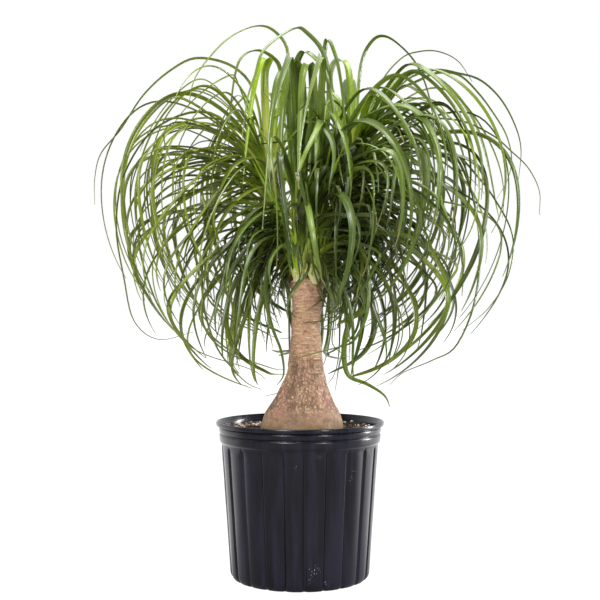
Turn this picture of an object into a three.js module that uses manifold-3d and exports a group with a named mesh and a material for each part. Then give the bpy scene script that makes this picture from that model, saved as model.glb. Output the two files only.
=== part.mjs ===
// Potted ponytail palm: a fluted nursery pot, its potting mix, a swollen trunk and three leafy heads.
// Millimetres, +Z up. The origin is the middle of the pot's flat bottom and the front looks along -Y.
import * as THREE from "three";
import { mergeVertices } from "three/addons/utils/BufferGeometryUtils.js";
import Module from "manifold-3d";

const wasm = await Module();
wasm.setup();

const FIT_GAP = 0.3; // air between pieces that rest on each other

// ---------------------------------------------------------------- pot
const POT_HEIGHT = 257;
const POT_RIM_RADIUS = 138.5;
const POT_WALL = 1.9;
const POT_FLOOR = 2.5;
const FLUTES = 22;
const FLUTE_DEPTH = 2.6;
const GROOVE_HALF_ANGLE = 0.045; // radians, from a groove's middle to its edge
const FLUTE_TURN = 0.207; // radians from +X to the middle of the first groove
const DRAIN_HOLES = 6;
const DRAIN_RADIUS = 7;
const DRAIN_RING_RADIUS = 78;

// Outside of the pot from the bottom up: height, radius on a panel, share of the groove's depth.
const POT_OUTSIDE = [
  [0, 109, 1],
  [7, 114.3, 1],
  [208, 128.6, 1],
  [217, 129.2, 0],
  [222, 129.6, 0],
  [225, 132.6, 0],
  [236, 133.2, 0],
  [238, 131.6, 0],
  [240, 133.2, 0],
  [247, 133.6, 0],
  [249, 132.8, 0],
  [250.6, POT_RIM_RADIUS, 0],
  [POT_HEIGHT, POT_RIM_RADIUS, 0],
];

// Inside of the pot from the rim down.
const POT_INSIDE = [
  [POT_HEIGHT, 135.4, 0],
  [248.5, 131, 0],
  [238, 129.6, 0],
  [222, 127.6, 0],
  [208, 128.6 - POT_WALL, 1],
  [POT_FLOOR, 110, 1],
];

// ---------------------------------------------------------------- potting mix
const SOIL_TOP = 243;
const SOIL_RISE = 4; // how far the mix heaps up
const SOIL_STEPS = 3; // rings of the top surface between the pot and the trunk
const SOIL_SIDES = 33;
const SOIL_WALL_GAP = 1.1; // clears the flat stretches between the pot wall's corners
const SOIL_HOLE_GAP = 1.9; // clears the bark's ridges

// ---------------------------------------------------------------- trunk
const TRUNK_FOOT = 190;
const TRUNK_TOP = 494;
const TRUNK_SIDES = 24;
const BARK_DEPTH = 0.9;
const FLARE_TOP = 340;
const FLARE_FULL = 260;
const FORK_DROP = 36; // how far below the trunk's top its branches part
const SHOOT_SIDES = 7;
const SHOOT_TAPER = 0.6; // a shoot's radius at its crown as a share of that at its foot
const ELBOW_DROP = 15; // length of a branch's upright end, which carries a head

// Trunk from its buried foot up: height, radius, how far its middle leans to +X.
const TRUNK_PROFILE = [
  [TRUNK_FOOT, 50, 3],
  [206, 65, 3],
  [245, 68, 3],
  [260, 65, 4],
  [272, 60.5, 4.5],
  [288, 51, 5],
  [304, 43, 6.5],
  [320, 36.3, 7.5],
  [338, 30.8, 9],
  [354, 28.3, 9.5],
  [379, 26.6, 9.5],
  [400, 24.3, 9.5],
  [429, 23.2, 10],
  [449, 24.8, 11],
  [472, 26.2, 11],
  [487, 26.6, 11],
  [TRUNK_TOP, 24.5, 11],
];

// ---------------------------------------------------------------- leaves
const GOLDEN_SHARE = 0.618034; // spreads leaves round a head so that no two lie over each other
const WALK_STEPS = 24; // short steps that a leaf's midline is walked in
const LEAF_RINGS = 6; // rings of the solid along a ruled leaf
const TRACED_RINGS = 8; // rings of the solid along a leaf laid by hand
const LEAF_THICKNESS = 2;
const TIP_WIDTH = 1.1;
const TIP_THICKNESS = 0.9;
const TAPER_POWER = 2.4; // a leaf keeps its width well along, then narrows to its tip
const ROOT_WIDTH_SHARE = 0.35; // width at the root, where leaves crowd each other
const ROOT_LENGTH_SHARE = 0.12;

// How a ruled leaf follows from its age, and how far its seeded draws let it stray (degrees).
const GROWTH = {
  alongShoot: [0.1, 0.97], // places of the oldest and the youngest leaf on their shoot
  sunkShare: 0.45, // of the shoot's radius
  liftPower: 0.8,
  oldestLength: 0.62,
  fullLengthAge: 0.6,
  bend: [0.5, 1.1], // below 1 a leaf bends over soon after its root, above 1 near its tip
  bendStray: [0.8, 1.3],
  azimuthStray: 5,
  liftStray: 9,
  sway: 30,
  twist: 45,
  pitchWave: 26, // slow waves that grow along a leaf
  azimuthWave: 30,
};

const PITCH_WAVES = 1.2; // waves from a leaf's root to its tip
const AZIMUTH_WAVES = 0.9;

// The heads' sectors meet on this upright line, and leaves bend to stay this far inside their own.
const MEET = { x: 14, y: 4 };
const SECTOR_CLEAR = 10;
const TRUNK_CLEAR = 12;
const TRUNK_CLEAR_FADE = 24; // height over which the trunk's clearance fades out at its top

// The leafy crown is a ball, taller below its middle than above. Each leaf keeps to a share of it.
const CROWN = { x: 12, y: 0, z: 640, side: 362, up: 285, down: 358, softFrom: 0.74 };

// Leaves in front hang to either side of the trunk below this height.
const PARTING = { from: 510, fade: 60, half: 30 };

// A head's first shoot stands on a branch of the trunk, and any other grows from the side of it.
const HEADS = [
  {
    name: "head_left",
    shoots: [{ foot: [-22, 17, 522], crown: [-52, 14, 672], radius: 14 }],
    sector: [80, 215],
    seed: 105,
    leaves: 53,
    fan: [45, 236],
    lift: [0, 86],
    end: [-92, -160],
    length: [560, 960],
    width: [6, 10.5],
    reach: [0.42, 1],
    colour: 0x76873b,
  },
  {
    name: "head_right",
    shoots: [{ foot: [46, 17, 522], crown: [86, 16, 690], radius: 14 }],
    sector: [-40, 80],
    seed: 205,
    leaves: 59,
    fan: [-66, 122],
    lift: [0, 86],
    end: [-92, -160],
    length: [560, 960],
    width: [8, 12],
    reach: [0.42, 1],
    colour: 0x667a34,
  },
  {
    name: "head_front",
    shoots: [
      { foot: [1, -18, 499], crown: [-4, -32, 600], radius: 9 },
      { foot: [12, -19, 500], crown: [34, -28, 588], radius: 9 },
    ],
    sector: [215, 320],
    seed: 37,
    leaves: 32,
    fan: [256, 338],
    lift: [62, 89],
    end: [-84, -112],
    length: [560, 940],
    width: [9, 13],
    reach: [0.35, 0.9],
    colour: 0x839745,
  },
];

// Leaves that draw the plant's outline or cross its front, laid by hand through a few points.
const TRACED_LEAVES = [
  {
    head: "head_left",
    width: 6,
    through: [
      [-51, 13, 662], [-34, 0, 788], [-18, -5, 862], [-42, -10, 898], [-72, -15, 906],
      [-112, -20, 888], [-146, -25, 854], [-172, -30, 814], [-182, -32, 766],
    ],
  },
  {
    head: "head_left",
    width: 9,
    through: [
      [-55, 13, 664], [-70, 5, 788], [-106, 0, 840], [-168, -5, 856], [-214, -10, 834],
      [-258, -15, 792], [-294, -18, 736], [-326, -20, 696], [-336, -20, 656], [-336, -20, 612],
    ],
  },
  {
    head: "head_left",
    width: 8,
    through: [
      [-56, 10, 670], [-140, -10, 762], [-228, -30, 742], [-282, -45, 666], [-296, -55, 578],
      [-282, -60, 488], [-266, -60, 422], [-228, -50, 392], [-172, -35, 404],
    ],
  },
  {
    head: "head_left",
    width: 8,
    through: [
      [-50, 10, 598], [-140, -10, 678], [-236, -30, 644], [-262, -40, 562], [-242, -40, 474],
      [-210, -38, 414], [-166, -32, 372], [-84, -28, 344], [-52, -26, 326],
    ],
  },
  {
    head: "head_left",
    width: 8,
    through: [
      [-44, 8, 540], [-106, -10, 586], [-154, -25, 546], [-158, -32, 456],
      [-138, -34, 384], [-108, -33, 342], [-82, -32, 318], [-56, -32, 310],
    ],
  },
  {
    head: "head_left",
    width: 13,
    through: [
      [-49, 11, 662], [-56, -5, 754], [-58, -12, 826], [-50, -20, 850],
      [-62, -35, 842], [-74, -45, 788], [-84, -50, 714], [-92, -52, 634],
    ],
  },
  {
    head: "head_left",
    width: 9,
    through: [
      [-47, 11, 660], [-26, -2, 770], [-32, -6, 834], [-46, -10, 856], [-70, -16, 866],
      [-92, -24, 856], [-104, -30, 830], [-112, -38, 772], [-116, -42, 700],
    ],
  },
  {
    head: "head_front",
    width: 9,
    through: [
      [30, -26, 570], [46, -45, 764], [40, -60, 844], [10, -72, 882], [-12, -80, 886],
      [-56, -95, 850], [-70, -105, 808], [-82, -112, 768], [-90, -118, 704],
    ],
  },
  {
    head: "head_front",
    width: 16,
    through: [
      [0, -21, 501], [-2, -32, 560], [4, -50, 730], [0, -72, 814], [-12, -88, 834],
      [-20, -105, 808], [-28, -120, 736], [-30, -126, 672], [-30, -128, 612],
    ],
  },
  {
    head: "head_front",
    width: 14,
    through: [
      [15, -22, 503], [24, -32, 560], [22, -48, 730], [20, -66, 816], [12, -78, 832],
      [4, -95, 806], [0, -108, 738], [-2, -114, 666], [-6, -116, 596],
    ],
  },
  {
    head: "head_front",
    width: 13,
    through: [
      [-1, -22, 503], [-6, -34, 560], [-12, -50, 698], [-20, -72, 790], [-26, -88, 818],
      [-38, -104, 792], [-46, -116, 720], [-52, -124, 642], [-58, -128, 564],
    ],
  },
  {
    head: "head_front",
    width: 11,
    through: [
      [-2, -28, 560], [-6, -45, 716], [-10, -60, 808], [2, -75, 848],
      [18, -90, 842], [40, -100, 810], [54, -108, 738], [62, -112, 652],
    ],
  },
  {
    head: "head_front",
    width: 9,
    through: [
      [28, -26, 560], [30, -42, 748], [38, -52, 842], [44, -60, 874],
      [56, -70, 846], [64, -80, 806], [70, -88, 748], [78, -94, 668],
    ],
  },
  {
    head: "head_right",
    width: 11,
    through: [
      [87, 14, 682], [94, 10, 790], [102, 5, 854], [120, 0, 886], [140, -5, 892], [164, -12, 876],
      [190, -20, 844], [208, -28, 798], [220, -34, 732], [228, -38, 636], [226, -38, 538],
    ],
  },
  {
    head: "head_right",
    width: 9,
    through: [
      [87, 15, 680], [142, 8, 788], [196, 0, 820], [230, -4, 832], [264, -8, 826], [294, -12, 796],
      [318, -16, 762], [338, -20, 726], [346, -24, 686], [338, -26, 650], [320, -28, 620],
    ],
  },
  {
    head: "head_right",
    width: 8,
    through: [
      [87, 16, 678], [160, 25, 808], [218, 30, 842], [268, 35, 838], [306, 38, 826],
      [340, 40, 794], [364, 42, 750], [374, 44, 710], [370, 45, 660],
    ],
  },
  {
    head: "head_right",
    width: 5,
    through: [
      [86, 16, 674], [176, 20, 750], [258, 20, 758], [318, 20, 734],
      [354, 20, 704], [382, 20, 676], [400, 20, 638], [400, 20, 598],
    ],
  },
  {
    head: "head_right",
    width: 9,
    through: [
      [79, 14, 624], [166, 0, 722], [246, -20, 702], [292, -35, 654], [318, -42, 616],
      [340, -48, 572], [344, -50, 534], [332, -50, 486], [302, -46, 440], [262, -40, 406],
    ],
  },
  {
    head: "head_right",
    width: 11,
    through: [
      [77, 14, 606], [156, -5, 712], [228, -25, 718], [272, -40, 652], [290, -50, 554],
      [282, -54, 456], [252, -50, 382], [214, -44, 358], [168, -36, 338], [146, -30, 318],
    ],
  },
  {
    head: "head_right",
    width: 10,
    through: [
      [68, 12, 535], [86, -5, 556], [102, -20, 514], [84, -28, 432], [66, -30, 376],
      [72, -30, 336], [108, -34, 320], [136, -38, 302], [146, -40, 282],
    ],
  },
  {
    head: "head_right",
    width: 5,
    through: [
      [88, 16, 682], [130, 30, 810], [168, 36, 862], [202, 40, 876],
      [236, 44, 876], [268, 46, 860], [292, 48, 826],
    ],
  },
  {
    head: "head_front",
    width: 7,
    through: [
      [25, -22, 525], [72, -75, 560], [104, -100, 516], [106, -105, 442], [86, -95, 394],
      [64, -85, 382], [34, -76, 374], [6, -70, 366], [-20, -66, 358],
    ],
  },
  {
    head: "head_front",
    width: 9,
    through: [
      [-2, -24, 525], [-32, -50, 544], [-52, -66, 508], [-54, -72, 456],
      [-44, -72, 412], [-30, -68, 374], [-26, -64, 338], [-36, -64, 320],
    ],
  },
];

// ---------------------------------------------------------------- small helpers
const radians = THREE.MathUtils.degToRad;
const mix = THREE.MathUtils.lerp;
const { smoothstep } = THREE.MathUtils;

// A seeded stream of numbers from 0 to 1.
function seededDraw(seed) {
  let state = seed;
  return () => {
    state = (state + 0x6d2b79f5) | 0;
    let t = Math.imul(state ^ (state >>> 15), state | 1);
    t ^= t + Math.imul(t ^ (t >>> 7), t | 61);
    return ((t ^ (t >>> 14)) >>> 0) / 2 ** 32;
  };
}

// Value of a [key, value, value] table at a key, going straight from row to row.
function readTable(table, key, column) {
  if (key <= table[0][0]) return table[0][column];
  for (let i = 1; i < table.length; i++) {
    const [low, high] = [table[i - 1], table[i]];
    if (key <= high[0]) {
      return mix(low[column], high[column], (key - low[0]) / (high[0] - low[0]));
    }
  }
  return table[table.length - 1][column];
}

// Closed body through rings of equally many points, which turn right-handed about the way they go.
function ringBody(rings) {
  const count = rings[0].length;
  const points = rings.flat();
  const first = new THREE.Vector3();
  const last = new THREE.Vector3();
  rings[0].forEach((p) => first.addScaledVector(p, 1 / count));
  rings[rings.length - 1].forEach((p) => last.addScaledVector(p, 1 / count));
  const faces = [];
  const firstMiddle = points.push(first) - 1;
  const lastMiddle = points.push(last) - 1;
  const lastRing = (rings.length - 1) * count;
  for (let j = 0; j < count; j++) {
    const next = (j + 1) % count;
    faces.push(firstMiddle, next, j, lastMiddle, lastRing + j, lastRing + next);
    for (let i = 0; i < lastRing; i += count) {
      faces.push(i + j, i + next, i + count + next, i + j, i + count + next, i + count + j);
    }
  }
  return new THREE.BufferGeometry().setFromPoints(points).setIndex(faces);
}

function toSolid(geometry) {
  geometry.deleteAttribute("normal");
  geometry.deleteAttribute("uv");
  const merged = mergeVertices(geometry, 1e-4);
  return new wasm.Manifold(
    new wasm.Mesh({
      numProp: 3,
      vertProperties: new Float32Array(merged.attributes.position.array),
      triVerts: new Uint32Array(merged.index.array),
    }),
  );
}

function toGeometry(solid) {
  const mesh = solid.getMesh();
  const geometry = new THREE.BufferGeometry();
  geometry.setAttribute("position", new THREE.BufferAttribute(mesh.vertProperties, 3));
  geometry.setIndex(new THREE.BufferAttribute(mesh.triVerts, 1));
  return geometry;
}

// The largest body of a solid: inner voids left by fusing are filled and loose scraps dropped.
function largestBody(solid) {
  return solid.decompose().reduce((best, body) => (body.volume() > best.volume() ? body : best));
}

function namedMesh(name, geometry, colour, roughness) {
  geometry.computeVertexNormals();
  const material = new THREE.MeshStandardMaterial({ color: colour, roughness, metalness: 0 });
  const mesh = new THREE.Mesh(geometry, material);
  mesh.name = name;
  return mesh;
}

// ---------------------------------------------------------------- pot and potting mix
function evenAngles(count) {
  return Array.from({ length: count }, (_, j) => ({ angle: (j * 2 * Math.PI) / count }));
}

// Angles round the pot: the middle and both edges of every groove.
function fluteAngles() {
  const angles = [];
  for (let k = 0; k < FLUTES; k++) {
    const middle = FLUTE_TURN + (k * 2 * Math.PI) / FLUTES;
    for (const side of [-1, 0, 1]) {
      angles.push({ angle: middle + side * GROOVE_HALF_ANGLE, groove: side === 0 ? 1 : 0 });
    }
  }
  return angles;
}

function potRing([height, radius, share]) {
  return fluteAngles().map(({ angle, groove }) => {
    const r = radius - FLUTE_DEPTH * share * groove;
    return new THREE.Vector3(r * Math.cos(angle), r * Math.sin(angle), height);
  });
}

function makePot() {
  const rings = [...POT_OUTSIDE, ...POT_INSIDE].map(potRing);
  let pot = toSolid(ringBody(rings));
  for (let k = 0; k < DRAIN_HOLES; k++) {
    const angle = ((k + 0.5) * 2 * Math.PI) / DRAIN_HOLES;
    const hole = new THREE.CylinderGeometry(DRAIN_RADIUS, DRAIN_RADIUS, 4 * POT_FLOOR, 10);
    hole.rotateX(Math.PI / 2);
    hole.translate(DRAIN_RING_RADIUS * Math.cos(angle), DRAIN_RING_RADIUS * Math.sin(angle), 0);
    pot = pot.subtract(toSolid(hole));
  }
  return namedMesh("pot", toGeometry(pot), 0x33323b, 0.38);
}

// Heaps and dips of the potting mix.
function soilHeight(x, y) {
  const waves = Math.sin(x / 9 + 1.3) * Math.cos(y / 7) + 0.7 * Math.sin((x + 2 * y) / 11);
  return SOIL_TOP + 0.5 * SOIL_RISE * waves;
}

function makeSoil() {
  const angles = evenAngles(SOIL_SIDES);
  const inside = [...POT_INSIDE].reverse();
  const round = (height, radius) =>
    angles.map(
      ({ angle }) => new THREE.Vector3(radius * Math.cos(angle), radius * Math.sin(angle), height),
    );
  const rings = inside
    .filter(([height]) => height < SOIL_TOP - SOIL_RISE)
    .map(([height, radius, share]) =>
      round(Math.max(height, POT_FLOOR + FIT_GAP), radius - FLUTE_DEPTH * share - SOIL_WALL_GAP),
    );
  const wall = round(SOIL_TOP, readTable(inside, SOIL_TOP, 1) - SOIL_WALL_GAP);
  const hole = TRUNK_PROFILE.filter(([height]) => height <= SOIL_TOP).reverse();
  const edge = trunkRing(SOIL_TOP, angles, SOIL_HOLE_GAP);
  for (let k = 0; k <= SOIL_STEPS; k++) {
    rings.push(
      wall.map((p, j) => {
        const q = p.clone().lerp(edge[j], k / SOIL_STEPS);
        return q.setZ(soilHeight(q.x, q.y));
      }),
    );
  }
  for (const [height] of hole) {
    rings.push(trunkRing(height, angles, SOIL_HOLE_GAP));
  }
  rings.at(-1).forEach((p) => p.setZ(TRUNK_FOOT - FIT_GAP));
  return namedMesh("potting_mix", ringBody(rings), 0x5a4d47, 0.95);
}

// ---------------------------------------------------------------- trunk
// Low ridges that run up the bark and wander round it.
function barkRise(angle, height) {
  const flare = smoothstep(-height, -FLARE_TOP, -FLARE_FULL);
  const ridges = Math.sin(9 * angle + height / 23) + 0.6 * Math.sin(5 * angle - height / 31);
  return BARK_DEPTH * flare * 0.6 * ridges + BARK_DEPTH * 0.4 * Math.sin(height / 6);
}

function trunkRing(height, angles, grow = 0) {
  const radius = readTable(TRUNK_PROFILE, height, 1);
  const lean = readTable(TRUNK_PROFILE, height, 2);
  return angles.map(({ angle }) => {
    const r = radius + (grow || barkRise(angle, height));
    return new THREE.Vector3(lean + r * Math.cos(angle), r * Math.sin(angle), height);
  });
}

// Straight round piece from one end's middle to the other's, slimmer at its far end.
function shootBody(from, to, radiusFrom, radiusTo) {
  const along = to.clone().sub(from).normalize();
  const across = new THREE.Vector3(0, 1, 0).cross(along).normalize();
  const third = along.clone().cross(across);
  const ring = (middle, radius) =>
    Array.from({ length: SHOOT_SIDES }, (_, j) => {
      const angle = (j * 2 * Math.PI) / SHOOT_SIDES;
      return middle
        .clone()
        .addScaledVector(across, radius * Math.cos(angle))
        .addScaledVector(third, radius * Math.sin(angle));
    });
  return toSolid(ringBody([ring(from, radiusFrom), ring(to, radiusTo)]));
}

function makeTrunk() {
  const angles = evenAngles(TRUNK_SIDES);
  const rings = TRUNK_PROFILE.map(([height]) => trunkRing(height, angles));
  let trunk = toSolid(ringBody(rings));
  const fork = new THREE.Vector3(readTable(TRUNK_PROFILE, TRUNK_TOP, 2), 0, TRUNK_TOP - FORK_DROP);
  for (const { shoots } of HEADS) {
    const { foot, crown, radius } = shoots[0];
    const top = new THREE.Vector3(...foot);
    const along = new THREE.Vector3(...crown).sub(top).normalize();
    const end = top.addScaledVector(along, -FIT_GAP);
    const elbow = end.clone().addScaledVector(along, -ELBOW_DROP);
    trunk = trunk.add(shootBody(elbow, end, radius, radius));
    trunk = trunk.add(shootBody(fork, elbow, radius, radius));
  }
  return namedMesh("trunk", toGeometry(largestBody(trunk)), 0xba9675, 0.85);
}

// ---------------------------------------------------------------- leaves
// Eases a distance up so that it never falls below a least one.
function keepOut(distance, least) {
  if (least <= 0 || distance >= 2 * least) return distance;
  return least * (1 + Math.exp((distance - 2 * least) / least));
}

// Bends a point of a leaf back into its share of the round crown.
function intoCrown(p, reach) {
  const away = p.clone().sub(new THREE.Vector3(CROWN.x, CROWN.y, CROWN.z));
  const side = CROWN.side * reach;
  const tall = (away.z > 0 ? CROWN.up : CROWN.down) * reach;
  const share = Math.hypot(Math.hypot(away.x, away.y) / side, away.z / tall);
  if (share <= CROWN.softFrom) return p;
  const room = 1 - CROWN.softFrom;
  const wanted = CROWN.softFrom + room * Math.tanh((share - CROWN.softFrom) / room);
  return p.clone().sub(away).addScaledVector(away, wanted / share);
}

// Keeps a point inside its head's sector and off the trunk.
function clearOfOthers(p, [low, high]) {
  const [a, b] = [radians(low), radians(high)];
  for (const [nx, ny] of [[-Math.sin(a), Math.cos(a)], [Math.sin(b), -Math.cos(b)]]) {
    const inside = nx * (p.x - MEET.x) + ny * (p.y - MEET.y);
    const move = keepOut(inside, SECTOR_CLEAR) - inside;
    p.x += nx * move;
    p.y += ny * move;
  }
  const below = 1 - smoothstep(p.z, TRUNK_TOP - TRUNK_CLEAR_FADE, TRUNK_TOP);
  const least = below * (readTable(TRUNK_PROFILE, p.z, 1) + TRUNK_CLEAR);
  const out = Math.hypot(p.x - MEET.x, p.y - MEET.y);
  const scale = keepOut(out, least) / out;
  p.x = MEET.x + (p.x - MEET.x) * scale;
  p.y = MEET.y + (p.y - MEET.y) * scale;
  return p;
}

// Moves a point of a front leaf to its own side of the trunk.
function partInFront(p, azimuth) {
  const side = Math.cos(azimuth) < 0 ? -1 : 1;
  const half = PARTING.half * smoothstep(PARTING.from - p.z, 0, PARTING.fade);
  p.x = MEET.x + side * keepOut(side * (p.x - MEET.x), half);
  return p;
}

// Midline of a leaf that rises at one pitch, bends over and ends at another.
function walkMidline(leaf, head) {
  const stride = leaf.length / WALK_STEPS;
  const p = leaf.root.clone();
  const points = [];
  for (let k = 0; k <= WALK_STEPS; k++) {
    const q = intoCrown(p, leaf.reach).clone();
    if (head.name === "head_front") partInFront(q, leaf.azimuth);
    points.push(clearOfOthers(q, head.sector));
    const s = (k + 0.5) / WALK_STEPS;
    const { pitchWave, pitchPhase, azimuthWave, azimuthPhase } = leaf.wave;
    const wave = (most, waves, phase) => most * s * Math.sin(2 * Math.PI * (waves * s + phase));
    const pitch =
      mix(leaf.lift, leaf.end, s ** leaf.bend) + wave(pitchWave, PITCH_WAVES, pitchPhase);
    const azimuth =
      leaf.azimuth + leaf.sway * s * s + wave(azimuthWave, AZIMUTH_WAVES, azimuthPhase);
    p.x += stride * Math.cos(pitch) * Math.cos(azimuth);
    p.y += stride * Math.cos(pitch) * Math.sin(azimuth);
    p.z += stride * Math.sin(pitch);
  }
  // The rings stand where the leaf has turned by equal shares, each a step or more past the last.
  const rings = [];
  for (let k = 0; k <= LEAF_RINGS; k++) {
    const place = Math.round(WALK_STEPS * (k / LEAF_RINGS) ** (1 / leaf.bend));
    const step = Math.max(place, k);
    rings.push({ point: points[step], s: step / WALK_STEPS });
  }
  return rings;
}

function traceMidline(through, sector) {
  const curve = new THREE.CatmullRomCurve3(
    through.map((p) => new THREE.Vector3(...p)),
    false,
    "catmullrom",
    0.5,
  );
  return curve
    .getPoints(TRACED_RINGS)
    .map((p, k) => ({ point: clearOfOthers(p, sector), s: k / TRACED_RINGS }));
}

function leafWidth(fullWidth, s) {
  const root = mix(ROOT_WIDTH_SHARE, 1, Math.min(1, s / ROOT_LENGTH_SHARE));
  return fullWidth * root * (1 - s ** TAPER_POWER) + TIP_WIDTH;
}

// Solid of a leaf: a flat upper side over a low keel, turned by its twist towards the tip.
function leafBody(midline, azimuth, sway, fullWidth, twist) {
  const last = midline.length - 1;
  const rings = midline.map(({ point, s }, k) => {
    const before = midline[Math.max(k - 1, 0)].point;
    const after = midline[Math.min(k + 1, last)].point;
    const along = after.clone().sub(before).normalize();
    const turned = azimuth + sway * s * s;
    const across = new THREE.Vector3(-Math.sin(turned), Math.cos(turned), 0);
    across.addScaledVector(along, -across.dot(along)).normalize();
    across.applyAxisAngle(along, twist * s);
    const up = along.clone().cross(across);
    const half = leafWidth(fullWidth, s) / 2;
    const keel = mix(LEAF_THICKNESS, TIP_THICKNESS, s);
    return [
      point.clone().addScaledVector(across, half),
      point.clone().addScaledVector(across, -half),
      point.clone().addScaledVector(up, -keel),
    ];
  });
  return toSolid(ringBody(rings));
}

function ruledLeaf(head, index, draw) {
  const age = (index + 0.5) / head.leaves; // 0 is the oldest and lowest leaf, 1 the youngest
  const shoot = head.shoots[index % head.shoots.length];
  const fanShare = (index * GOLDEN_SHARE) % 1;
  const stray = (most) => mix(-most, most, draw());
  const azimuth = radians(mix(...head.fan, fanShare) + stray(GROWTH.azimuthStray));
  const fullness = Math.min(1, age / GROWTH.fullLengthAge);
  const leaf = {
    azimuth,
    lift: radians(mix(...head.lift, age ** GROWTH.liftPower) + stray(GROWTH.liftStray)),
    end: radians(mix(...head.end, draw())),
    length: mix(...head.length, draw()) * mix(GROWTH.oldestLength, 1, fullness),
    bend: mix(...GROWTH.bend, age) * mix(...GROWTH.bendStray, draw()),
    sway: radians(stray(GROWTH.sway)),
    width: mix(...head.width, draw()),
    twist: radians(stray(GROWTH.twist)),
    reach: mix(...head.reach, draw()),
    wave: {
      pitchWave: radians(stray(GROWTH.pitchWave)),
      pitchPhase: draw(),
      azimuthWave: radians(stray(GROWTH.azimuthWave)),
      azimuthPhase: draw(),
    },
  };
  const sunk = GROWTH.sunkShare * shoot.radius;
  leaf.root = new THREE.Vector3(...shoot.foot)
    .lerp(new THREE.Vector3(...shoot.crown), mix(...GROWTH.alongShoot, age))
    .add(new THREE.Vector3(sunk * Math.cos(azimuth), sunk * Math.sin(azimuth), 0));
  return leaf;
}

function makeHead(head) {
  const bodies = head.shoots.map(({ foot, crown, radius }) =>
    shootBody(
      new THREE.Vector3(...foot),
      new THREE.Vector3(...crown),
      radius,
      SHOOT_TAPER * radius,
    ),
  );
  const draw = seededDraw(head.seed);
  for (let i = 0; i < head.leaves; i++) {
    const leaf = ruledLeaf(head, i, draw);
    const midline = walkMidline(leaf, head);
    bodies.push(leafBody(midline, leaf.azimuth, leaf.sway, leaf.width, leaf.twist));
  }
  for (const { width, through } of TRACED_LEAVES.filter((leaf) => leaf.head === head.name)) {
    const midline = traceMidline(through, head.sector);
    const middle = midline[Math.floor(midline.length / 2)].point.clone().sub(midline[0].point);
    bodies.push(leafBody(midline, Math.atan2(middle.y, middle.x), 0, width, 0));
  }
  const fused = bodies.reduce((whole, body) => whole.add(body));
  return namedMesh(head.name, toGeometry(largestBody(fused)), head.colour, 0.45);
}

// ---------------------------------------------------------------- the whole plant
const plant = new THREE.Group();
plant.add(makePot(), makeSoil(), makeTrunk(), ...HEADS.map(makeHead));

export default plant;
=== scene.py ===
"""Potted ponytail palm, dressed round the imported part. Millimetres until a mesh is made.

The origin is the middle of the pot's flat bottom, +Z is up and the front looks along -Y.
"""

from itertools import combinations, product
from math import atan2, ceil, cos, exp, hypot, pi, radians, sin, sqrt, tanh

import bpy
import numpy as np
from mathutils import Matrix, Vector
from mathutils.geometry import delaunay_2d_cdt
from numpy.linalg import norm


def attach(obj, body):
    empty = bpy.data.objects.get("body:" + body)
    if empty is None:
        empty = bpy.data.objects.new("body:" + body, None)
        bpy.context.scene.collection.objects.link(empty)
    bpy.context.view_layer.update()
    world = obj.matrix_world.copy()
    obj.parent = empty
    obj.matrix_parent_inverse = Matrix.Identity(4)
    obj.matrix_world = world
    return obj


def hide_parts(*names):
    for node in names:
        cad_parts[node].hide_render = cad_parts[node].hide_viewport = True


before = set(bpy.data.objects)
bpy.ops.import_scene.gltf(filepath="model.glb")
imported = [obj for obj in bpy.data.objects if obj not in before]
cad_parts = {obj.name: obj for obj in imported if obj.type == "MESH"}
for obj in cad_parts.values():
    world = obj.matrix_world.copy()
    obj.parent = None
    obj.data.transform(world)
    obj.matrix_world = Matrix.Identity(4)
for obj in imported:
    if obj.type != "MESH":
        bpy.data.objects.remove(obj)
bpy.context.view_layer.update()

MM = 0.001
TURN = 2 * pi

# ---- camera, lamps and floor
CAMERA_PLACE = (0.0, -1900.0, 456.0)
CAMERA_LENS = 69.0
CAMERA_SENSOR = 36.0

# Lamps and the place they aim at, in metres: name, place, width and height, power.
LAMP_AIM = (0, 0, 0.5)
LAMPS = [
    ("light_top", (-0.3, -0.5, 2.9), (1.6, 1.6), 78),
    ("light_key", (-1.3, -2.9, 1.8), (0.8, 1.5), 86),
    ("light_fill", (1.7, -2.6, 0.9), (0.5, 1.4), 38),
    ("light_edge", (2.3, 0.7, 0.7), (0.3, 1.5), 72),
]

# The room's light, dim in front and bright behind, between two values of a direction's Y.
ROOM_FRONT = (0.12, 0.12, 0.13, 1)
ROOM_BEHIND = (1.1, 1.1, 1.1, 1)
ROOM_TURNS = (-0.5, 0.5)

# The lit sweep: it brightens from front to back over these places, in metres.
FLOOR_HALF = 30
FLOOR_DROP = 0.0005
FLOOR_LIT_FROM = (-0.12, 0.22)
FLOOR_LIGHT = (0.1, 1.15)
FLOOR_SEEN = 0.97

# ---- pot
POT_HEIGHT = 257
POT_RIM_RADIUS = 138.5
POT_FLOOR = 2.5
POT_ROW = 24
PANEL_RADIUS = 124
PANEL_BULGE = 1.4
BULGE_SUNK_SHARE = 0.6
BULGE_FADES = (209, 219)
PANEL_COLUMNS = 9
FLUTES = 22
FLUTE_TURN = 0.207
FLUTE_PITCH = TURN / FLUTES
GROOVE_DEPTH = 2.3
GROOVE_HALF_WIDTH = 4.8
GROOVE_SPREAD = 1.15
GROOVE_FLOOR_SHARE = 0.3
GROOVE_COLUMNS = 10
GROOVE_TOP = 215
GROOVE_END_DROP = 14
GROOVE_END_RISE = 1.5
GROOVE_END_ROW = 1.3
DRAIN_HOLES = 6
DRAIN_RADIUS = 7
DRAIN_RING_RADIUS = 78
DRAIN_SIDES = 24
ARC_STEPS = 4
PROFILE_END = 20
SAME_PLACE = 0.05

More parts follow.
